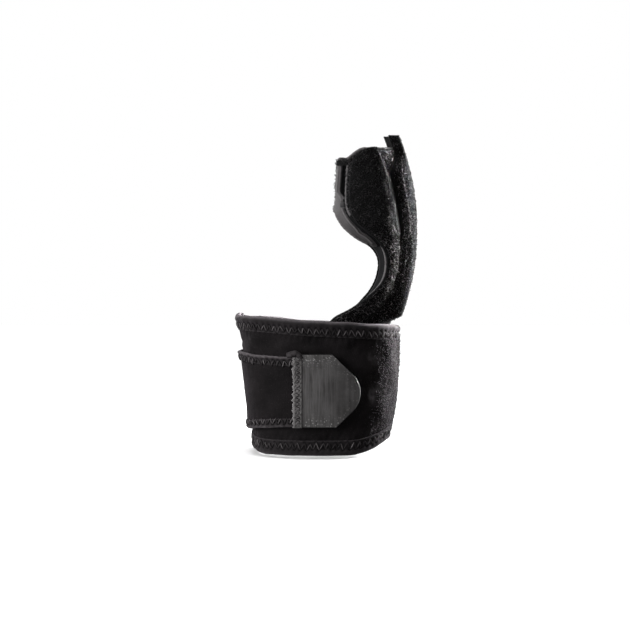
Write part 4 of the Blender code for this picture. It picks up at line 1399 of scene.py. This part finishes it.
def tab_grid(inset, spacing):
    """Grid over the tab's outline: clipped corners and a rounded nose."""
    heights = np.linspace(TAB_HEIGHTS[0] + inset, TAB_HEIGHTS[1] - inset, int(37.4 / spacing))

    def ends(z):
        nose = at_height(TAB_NOSE, z)[0] - inset
        return tuple(float(front_angle(x, z, TAB_LAYER[1])) for x in (TAB_START_X + inset, nose))

    return even_grid(wrist, heights, ends, spacing, TAB_LAYER[1])


def build_hook_tab():
    grid = tab_grid(0.0, 0.45)

    def relief(along, across):
        ribs = 0.03 * np.sin(2 * math.pi * along / 0.9) * np.exp(-np.maximum(along - 14.0, 0) / 5.0)
        dents = 0.07 * ripples(along, across, 12.0, 61) + 0.05 * ripples(along * 3, across * 0.2, 6.0, 62)
        return ribs + dents

    def margin(along, across):
        near = np.exp(-np.abs(across - 3.0) / 1.8) + np.exp(-np.abs(across[-1:] - across - 3.0) / 1.8)
        nose = np.exp(-np.abs(along[:, -1:] - along - 2.5) / 2.0)
        return np.clip(near + 0.4 * nose, 0.0, 1.0)

    face = slab("hook_tab_face", TAPE, wrist, grid, TAB_LAYER, relief, rounding=0.45, margin=margin)
    dress(face, None, "hook_tape", "hook_tab_backing")
    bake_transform(face)
    hooks = hook_rows("tab_hooks", wrist, tab_grid(2.4, 1.1), TAB_HOOK_LAYER, 63)
    dress(hooks, "hook_tab", "hook_tape", "hook_field")


# ---------------------------------------------------------------- thumb part


def edge_roll(name, look, points, normals, half_width, half_height, seed):
    """A bound edge: a flattened roll along an edge, drawn in a little at each stitch."""
    along = unit(np.gradient(points, axis=0))
    side = unit(np.cross(along, normals))
    run = run_along(points)
    turn = 2 * math.pi * np.arange(14) / 14
    swell = 1 + 0.07 * np.cos(2 * math.pi * run / 2.4) + 0.06 * ripples(run, 0 * run, 8.0, seed)
    ring = side[:, None] * (half_width * np.cos(turn))[None, :, None]
    ring = ring + normals[:, None] * (half_height * np.sin(turn))[None, :, None]
    body = points[:, None] + ring * swell[:, None, None]
    fabric = stacked(run[:, None], turn[None, :] * 1.2, 0.0).reshape(-1, 3)
    # Painted highlight: the roll's outer crest is mixed towards the lighter worn tone.
    wear = np.tile(0.5 * np.clip(np.sin(turn), 0, 1) ** 4, len(points))
    return new_piece(name, body, ring_faces(1, *body.shape[:2]), look, fabric=fabric, wear=wear)


def running_stitches(name, points, normals, pitch, seed):
    """Short straight stitches along a line of points."""
    run = run_along(points)
    starts = np.arange(0.5, run[-1] - pitch, pitch)
    t = np.linspace(0.0, 1.0, 6)
    places = starts[:, None] + 0.68 * pitch * t[None, :]
    lift = -0.25 + 0.42 * np.sqrt(np.sin(math.pi * t))
    paths = np.stack([np.interp(places, run, points[:, k]) for k in range(3)], -1)
    up = np.stack([np.interp(places, run, normals[:, k]) for k in range(3)], -1)
    return tube_piece(name, SEWING_THREAD, paths + lift[None, :, None] * up, up, np.full(6, 0.17), 5, seed)


def edge_line(surface, angle, heights, offset, inset=0.0):
    """Points and normals along a line given by angle(z)."""
    u = np.array([float(angle(z, inset)) for z in heights])
    point, normal, _, _ = local_frame(surface, u, heights, offset)
    return point, normal


def thumb_grid(ends, low, high, spacing):
    return even_grid(sleeve, np.linspace(low, high, int((high - low) / spacing)), ends, spacing)


def build_thumb_shells():
    def under(along, across):
        return 0.08 * ripples(along, across, 8.0, 71)

    low, high = THUMB_BOTTOM, THUMB_TOP
    for side, first, edge in (("palmar", 1.0, palmar_angle), ("dorsal", -1.0, dorsal_angle)):
        grid = thumb_grid(lambda z: (first, float(edge(z))), low, high, THUMB_SPACING)
        shell = slab(f"{side}_shell", BOUND_EDGE, sleeve, grid, THUMB_SHELL)
        dress(shell, "brace", "shell", f"thumb_{side}_shell", fill=0.3)
        grid = thumb_grid(lambda z: (first, float(edge(z, 0.6))), low + 0.5, high - 0.5, 1.2)
        lining = slab(f"{side}_inner_lining", LINING_CLOTH, sleeve, grid, THUMB_LINING, under=under)
        dress(lining, "brace", "lining", f"thumb_{side}_lining")
        middle = sleeve(*grid, -2.3)
        along, up = run_both(middle)


def bind_edges(rolls):
    """Rolls, given as name, (surface, angle, heights, offset, inset), look, half sizes and seed."""
    for name, line, look, half_sizes, seed in rolls:
        dress(edge_roll(name, look, *edge_line(*line), *half_sizes, seed), "brace", "shell")


def build_edge_rolls():
    """Bound edges of the shells and of the web band, and the seam beside the palm-side one."""
    z = np.linspace(67.0, THUMB_TOP - 0.4, 220)
    bind_edges((
        ("palmar_slit_roll", (sleeve, palmar_angle, z[z > 125.5], -0.5, 0.9), BOUND_EDGE, (1.15, 1.3), 81),
        ("palmar_edge_roll", (sleeve, palmar_angle, z[z < 126.5], -0.5, 0.9), LOOP_GROUND, (0.6, 1.5), 87),
    ))
    points, normals = edge_line(sleeve, palmar_angle, z[:150], 0.95, 1.9)
    dress(running_stitches("palmar_edge_stitches", points, normals, 2.4, 82), "brace", "thread")
    low, high = WEB_HEIGHTS
    dorsal = np.linspace(67.0, 122.5, 130)
    slit = np.linspace(low + 1.5, high + 0.4, 110)
    lower = np.linspace(low + 1.5, WEB_CLOSE[0], 60)
    joint = np.linspace(low + 0.3, SLIT_HEIGHTS[0] + 0.5, 80)
    bind_edges((
        ("dorsal_edge_roll", (sleeve, dorsal_angle, dorsal, -0.8), LOOP_GROUND, (0.8, 1.6), 83),
        ("web_slit_roll", (thumb, web_slit_angle, slit, -0.5), BOUND_EDGE, (0.75, 1.1), 84),
        ("web_lower_roll", (thumb, web_lower_angle, lower, -0.8), BOUND_EDGE, (0.7, 1.1), 85),
        ("web_joint_roll", (thumb, web_joint_angle, joint, -0.75), LOOP_GROUND, (1.25, 0.75), 88),
    ))
    build_rim_rolls()


def web_slit_angle(z, _):
    return web_ends(z)[0] + 6.5


def web_lower_angle(z, _):
    return web_ends(z)[1]


def web_joint_angle(z, _):
    """Middle of the narrow joint between the palm-side shell and the web band, below the slit."""
    return (palmar_angle(z) + web_ends(z)[0] + 2.0) / 2


def build_rim_rolls():
    """Rolled rims of the sleeve's opening at the tip of the thumb part."""
    for side, first, edge in (("palmar", 1.5, palmar_angle), ("dorsal", -1.5, dorsal_angle)):
        u = np.linspace(first, float(edge(THUMB_TOP)), 160)
        point, normal, _, _ = local_frame(sleeve, u, np.full(160, THUMB_TOP - 0.3), -0.9)
        dress(edge_roll(f"{side}_rim_roll", BOUND_EDGE, point, normal, 0.8, 1.5, 86), "brace", "shell")


def build_web():
    heights = np.linspace(*WEB_HEIGHTS, 70)
    grid = even_grid(thumb, heights, lambda z: (float(web_ends(z)[0]) + 2.0, float(web_ends(z)[1])), 0.7)

    def relief(along, across):
        return 0.12 * ripples(along, across, 10.0, 91)

    band = slab("web_band_cloth", BOUND_EDGE, thumb, grid, (THUMB_SHELL[0], 0.1), relief)
    dress(band, "brace", "shell", "web_band", fill=0.3)

    def bridge_ends(z):
        oval = thumb_oval(z)
        edge = at_height(PALMAR_EDGE, z)[0]
        return float(angle_at_x(oval, edge + 3.4)), float(angle_at_x(oval, edge - 2.0)) + 13

    grid = even_grid(sleeve, np.linspace(153.2, 157.8, 14), bridge_ends, 0.5)
    bridge = slab("web_bridge", LOOP_GROUND, sleeve, grid, (0.5, 1.3), rounding=0.5)
    dress(bridge, "brace", "loop_pile", "web_bridge_tab")
    pile = loop_pile(
        "web_bridge_pile", DARK_YARN, sleeve, (153.3, 157.6), bridge_ends, 0.55, 1.25, (0.9, 1.0), 0.11, 92
    )
    dress(pile, "brace", "loop_pile")
    build_bar_tack()


def build_bar_tack():
    """Dense satin stitches that close the bottom of the slit."""
    z = np.linspace(129.6, 132.6, 14)
    oval = thumb_oval(z)
    centre = angle_at_x(oval, at_height(PALMAR_EDGE, z)[0] - 0.6)
    t = np.linspace(0.0, 1.0, 8)
    u = (centre - 6)[:, None] + 15 * t[None, :]
    lift = 0.1 + 0.9 * np.sqrt(np.sin(math.pi * t))
    paths = thumb(u, z[:, None] + 0 * u, 0.2 + lift[None, :])
    above = thumb(u, z[:, None] + 0 * u, 1.2 + lift[None, :])
    tack = tube_piece("web_tack", DARK_YARN, paths, unit(above - paths), np.full(8, 0.16), 5, 93)
    dress(tack, "brace", "thread", "web_bar_tack")


def palmar_panel_ends(z):
    return float(pocket_angle(z, -1)), float(palmar_angle(z, 1.3))


def dorsal_panel_ends(z):
    edge = float(dorsal_angle(z, 1.3)) + 3 * float(smoothstep(z, *DORSAL_CLOSE))
    return float(pocket_angle(z, 1)), edge


def build_loop_panels():
    for side, ends, pitch, seed in (
        ("palmar", palmar_panel_ends, 0.80, 101),
        ("dorsal", dorsal_panel_ends, 0.86, 104),
    ):
        low, high = 49.0, 158.6

        def tucked(z):
            """The panel's edges; one is tucked under the pocket's cover."""
            first, last = ends(z)
            return first - 4.0 * math.copysign(1.0, last), last

        coarse = thumb_grid(tucked, low, high, 3.2)
        held = np.zeros(coarse[0].shape)
        held[:, :3] = held[:, -2:] = 1.0
        held[coarse[1][:, 0] < 69.0] = 1.0
        held[-2:] = 1.0
        bulge = settle(f"{side}_panel_cloth", sleeve, coarse, held, 0.008, 0.15, (0.15, 0.4))
        grid = thumb_grid(tucked, low, high, THUMB_SPACING)
        fine = resampled(bulge, *grid[0].shape)

        def relief(along, across):
            return fine + 0.12 * ripples(along, across, 9.0, seed)

        panel = slab(f"{side}_pile_ground", LOOP_GROUND, sleeve, grid, LOOP_LAYER, relief)
        dress(panel, "brace", "loop_pile", f"{side}_loop_panel", fill=0.3)

        def on_panel(u, z, offset):
            """The sleeve's surface with the panel's settled shape added."""
            return sleeve(u, z, offset + sampled(fine, grid, u, z))

        pile = loop_pile(
            f"{side}_pile", LOOP_YARN, on_panel, (66.5, high - 0.6), ends, pitch, LOOP_LAYER[1] + 0.05,
            (0.95, 0.85), 0.125, seed + 1,
        )
        dress(pile, "brace", "loop_pile")
        strays = stray_fibres(
            f"{side}_strays", LOOP_YARN, on_panel, (70.0, high), ends, 2.6, LOOP_LAYER[1], 1.3, seed + 2
        )
        dress(strays, "brace", "loop_pile")


def sampled(field, grid, u, z):
    """A grid's values at scattered angles and heights."""
    heights = grid[1][:, 0]
    row = np.clip(np.interp(z, heights, np.arange(len(heights))), 0, len(heights) - 1.001)
    first = np.interp(z, heights, grid[0][:, 0])
    last = np.interp(z, heights, grid[0][:, -1])
    column = np.clip((u - first) / (last - first), 0.0, 0.999) * (field.shape[1] - 1)
    i, j = row.astype(int), column.astype(int)
    s, t = row - i, column - j
    low = field[i, j] * (1 - t) + field[i, j + 1] * t
    high = field[i + 1, j] * (1 - t) + field[i + 1, j + 1] * t
    return low * (1 - s) + high * s


def build_pocket():
    """The stay's pocket: a ribbed cover sewn down both sides, and a strip behind the stay."""
    low, high = POCKET_HEIGHTS
    grid = np.meshgrid(np.linspace(-1, 1, 56), np.linspace(low, high, 170))

    def ribs(along, across):
        vertical = 0.05 * np.cos(2 * math.pi * along / 1.3)
        return vertical + 0.035 * ripples(along, across, 3.0, 111)

    cover = slab("pocket_cover", LOOP_GROUND, pocket_face, grid, (0.0, 1.0), ribs, rounding=0.35)
    dress(cover, "brace", "loop_pile", "stay_pocket", fill=0.3)
    back = slab("pocket_backing", LOOP_GROUND, pocket_back, grid, (0.0, 1.0), rounding=0.3)
    dress(back, "brace", "lining")
    pile = loop_pile(
        "pocket_pile", LOOP_YARN, pocket_face, (68.0, high - 0.3), lambda _: (-1.0, 1.0), 0.80, 1.02,
        (0.8, 0.5), 0.12, 112,
    )
    dress(pile, "brace", "loop_pile")
    heights = np.linspace(70.0, high - 2.0, 150)
    for side, share in (("palm", -0.88), ("back", 0.88)):
        point, normal, _, _ = local_frame(pocket_face, np.full(150, share), heights, 1.25)
        stitches = running_stitches(f"pocket_stitches_{side}", point, normal, 2.6, 113)
        dress(stitches, "brace", "thread")


# ---------------------------------------------------------------- thumb flap and stay


def flap_root(z):
    """Angle of the flap's root, which meets the edge of the pocket's cover."""
    return angle_at_y(thumb_oval(z), STAY_Y - COVER_HALF_WIDTH) + 0.5


def flap_ends(z):
    free = at_height(FLAP_FREE_EDGE, z)[0]
    oval = thumb_oval(z)
    return float(flap_root(z)), float(angle_at_x(oval, free, FLAP_LAYER[1]))


def flap_surface(u, z, offset):
    """The sleeve's surface under the flap, which comes down to the palm panel at its root."""
    root = flap_root(z)
    return thumb(u, z, offset - FLAP_ROOT_DROP * (1 - smoothstep(u, root, root + 20.0)))


def blend_at_flap_root(piece):
    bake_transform(piece)


def build_thumb_flap():
    low, high = FLAP_HEIGHTS
    coarse = even_grid(flap_surface, np.linspace(low, high, 20), flap_ends, 2.4, 3.0)
    held = np.zeros(coarse[0].shape)
    held[:, :2] = 1.0
    patch = smoothstep(coarse[1], 124, 128) * (1 - smoothstep(coarse[1], 150, 154))
    held[:, -6:-2] = np.maximum(held[:, -6:-2], patch[:, -6:-2])
    bulge = settle("thumb_flap_cloth", flap_surface, coarse, held, 0.012, 0.15, (0.15, 0.4))
    grid = even_grid(flap_surface, np.linspace(low, high, 88), flap_ends, 0.55, 3.0)
    fine = resampled(bulge, *grid[0].shape)

    def relief(along, across):
        return fine + 0.10 * ripples(along, across, 7.0, 121) + 0.04 * ripples(along, across, 2.5, 122)

    flap = slab("thumb_flap_panel", LOOP_GROUND, flap_surface, grid, FLAP_LAYER, relief, rounding=1.0)
    dress(flap, None, "loop_pile", "thumb_flap", fill=0.4)
    blend_at_flap_root(flap)

    def on_flap(u, z, offset):
        return flap_surface(u, z, offset + sampled(fine, grid, u, z))

    pile = loop_pile(
        "thumb_flap_pile", DARK_YARN, on_flap, (low + 0.3, high - 0.2), flap_ends, 0.62,
        FLAP_LAYER[1] + 0.02, (0.7, 0.42), 0.11, 123,
    )
    dress(pile, None, "loop_pile")
    blend_at_flap_root(pile)

    def hook_ends(z):
        free = at_height(FLAP_FREE_EDGE, z)[0]
        return tuple(float(angle_at_x(thumb_oval(z), free + d, FLAP_LAYER[1])) for d in (11.0, 2.0))

    spots = even_grid(thumb, np.arange(127.0, 151.0, 1.1), hook_ends, 1.0, 2.3)
    hooks = hook_rows("thumb_flap_hooks", thumb, spots, FLAP_HOOK_LAYER, 124)
    dress(hooks, "flap", "hook_tape", "thumb_flap_hook")


def finish_stay():
    """The stay and its caps keep their CAD shape, with softened edges and better finishes."""
    for name, look, soft in (
        ("thumb_stay", aluminium_look(), 0.25),
        ("stay_lower_cap", cap_look(), 0.45),
        ("stay_upper_cap", cap_look(), 0.45),
    ):
        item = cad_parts[name]
        item.data.materials.clear()
        item.data.materials.append(look)
        bevel = item.modifiers.new("softened", "BEVEL")
        bevel.width = soft * MM
        bevel.segments = 3
        bevel.limit_method = "ANGLE"
        bevel.angle_limit = math.radians(40)


# ---------------------------------------------------------------- studio

CAMERA_LENS = 57.1
CAMERA_PLACE = (-0.00486, -0.534, 0.072)
FLOOR_REACH = 6.0
FLOOR_LEVEL = -0.0012
SUN_STRENGTH = 3.3
SUN_WIDTH = 36
MIDDLE = (0.0, 0.0, 0.08)
THUMB_SIDE = (0.04, 0.0, 0.128)
# Area lights: name, place and size in metres, watts, point aimed at and beam in degrees.
AREA_LIGHTS = (
    ("rim_right", (0.575, 0.28, 0.10), (0.2, 0.4), 20.0, MIDDLE, 180),
    ("thumb_right", (0.52, 0.25, 0.27), (0.08, 0.08), 0.75, THUMB_SIDE, 18),
    ("rim_left", (-0.55, 0.45, 0.15), (0.2, 0.5), 3.0, MIDDLE, 180),
    ("side_left_soft", (-0.62, -0.32, 0.2), (0.35, 0.5), 8.0, MIDDLE, 180),
)


def floor_look():
    """White to the camera and grey to the light that it sends back up, so that cloth stays black."""
    made, tree, shader = new_look("pale_floor", Roughness=0.9, Specular_IOR_Level=0.05)
    seen = node(tree, "LightPath").outputs["Is Camera Ray"]
    shade = mix_colour(tree, seen, (0.12, 0.12, 0.12), (0.95, 0.95, 0.95))
    tree.links.new(shade, shader.inputs["Base Color"])
    return made


def area_light(name, place, size, power, aim, beam):
    data = bpy.data.lights.new(name, "AREA")
    data.shape = "RECTANGLE"
    data.size, data.size_y = size
    data.energy = power
    data.spread = math.radians(beam)
    item = link_new(name, data)
    item.location = place
    item.rotation_euler = (Vector(aim) - item.location).to_track_quat("-Z", "Y").to_euler()


def build_studio():
    mesh = bpy.data.meshes.new("floor")
    corners = [(x * FLOOR_REACH, y * FLOOR_REACH, 0) for x, y in ((-1, -1), (1, -1), (1, 1), (-1, 1))]
    mesh.from_pydata(corners, [], [(0, 1, 2, 3)])
    mesh.materials.append(floor_look())
    floor = link_new("floor", mesh)
    floor.location.z = FLOOR_LEVEL
    bpy.context.scene.view_settings.view_transform = "Standard"
    bpy.context.scene.world = studio_world()
    overhead = bpy.data.lights.new("overhead_soft", "SUN")
    overhead.energy = SUN_STRENGTH
    overhead.angle = math.radians(SUN_WIDTH)
    link_new("overhead_soft", overhead)
    for light in AREA_LIGHTS:
        area_light(*light)


def studio_world():
    """A white backdrop that lights the object less than it shows, so that black cloth stays black."""
    world = bpy.data.worlds.new("studio")
    world.use_nodes = True
    tree = world.node_tree
    background = tree.nodes["Background"]
    background.inputs["Color"].default_value = (1.0, 1.0, 1.0, 1.0)
    seen = node(tree, "LightPath").outputs["Is Camera Ray"]
    tree.links.new(spread(tree, seen, 0.14, 1.0), background.inputs["Strength"])
    return world


def build_camera():
    """Level with the middle of the wrap's upper half, straight in front of the palm."""
    data = bpy.data.cameras.new("camera")
    data.sensor_width = 36.0
    data.lens = CAMERA_LENS
    data.clip_start = 0.01
    camera = link_new("camera", data)
    camera.location = CAMERA_PLACE
    camera.rotation_euler = (math.radians(90), 0.0, 0.0)
    bpy.context.scene.camera = camera


# ---------------------------------------------------------------- whole scene


build_studio()
build_camera()
build_wrist_panel()
build_wrist_hems()
build_wrap_end()
build_strap()
build_tab_seam()
build_corner_fold()
build_hook_tab()
build_thumb_shells()
build_edge_rolls()
build_web()
build_loop_panels()
build_pocket()
build_thumb_flap()
finish_stay()
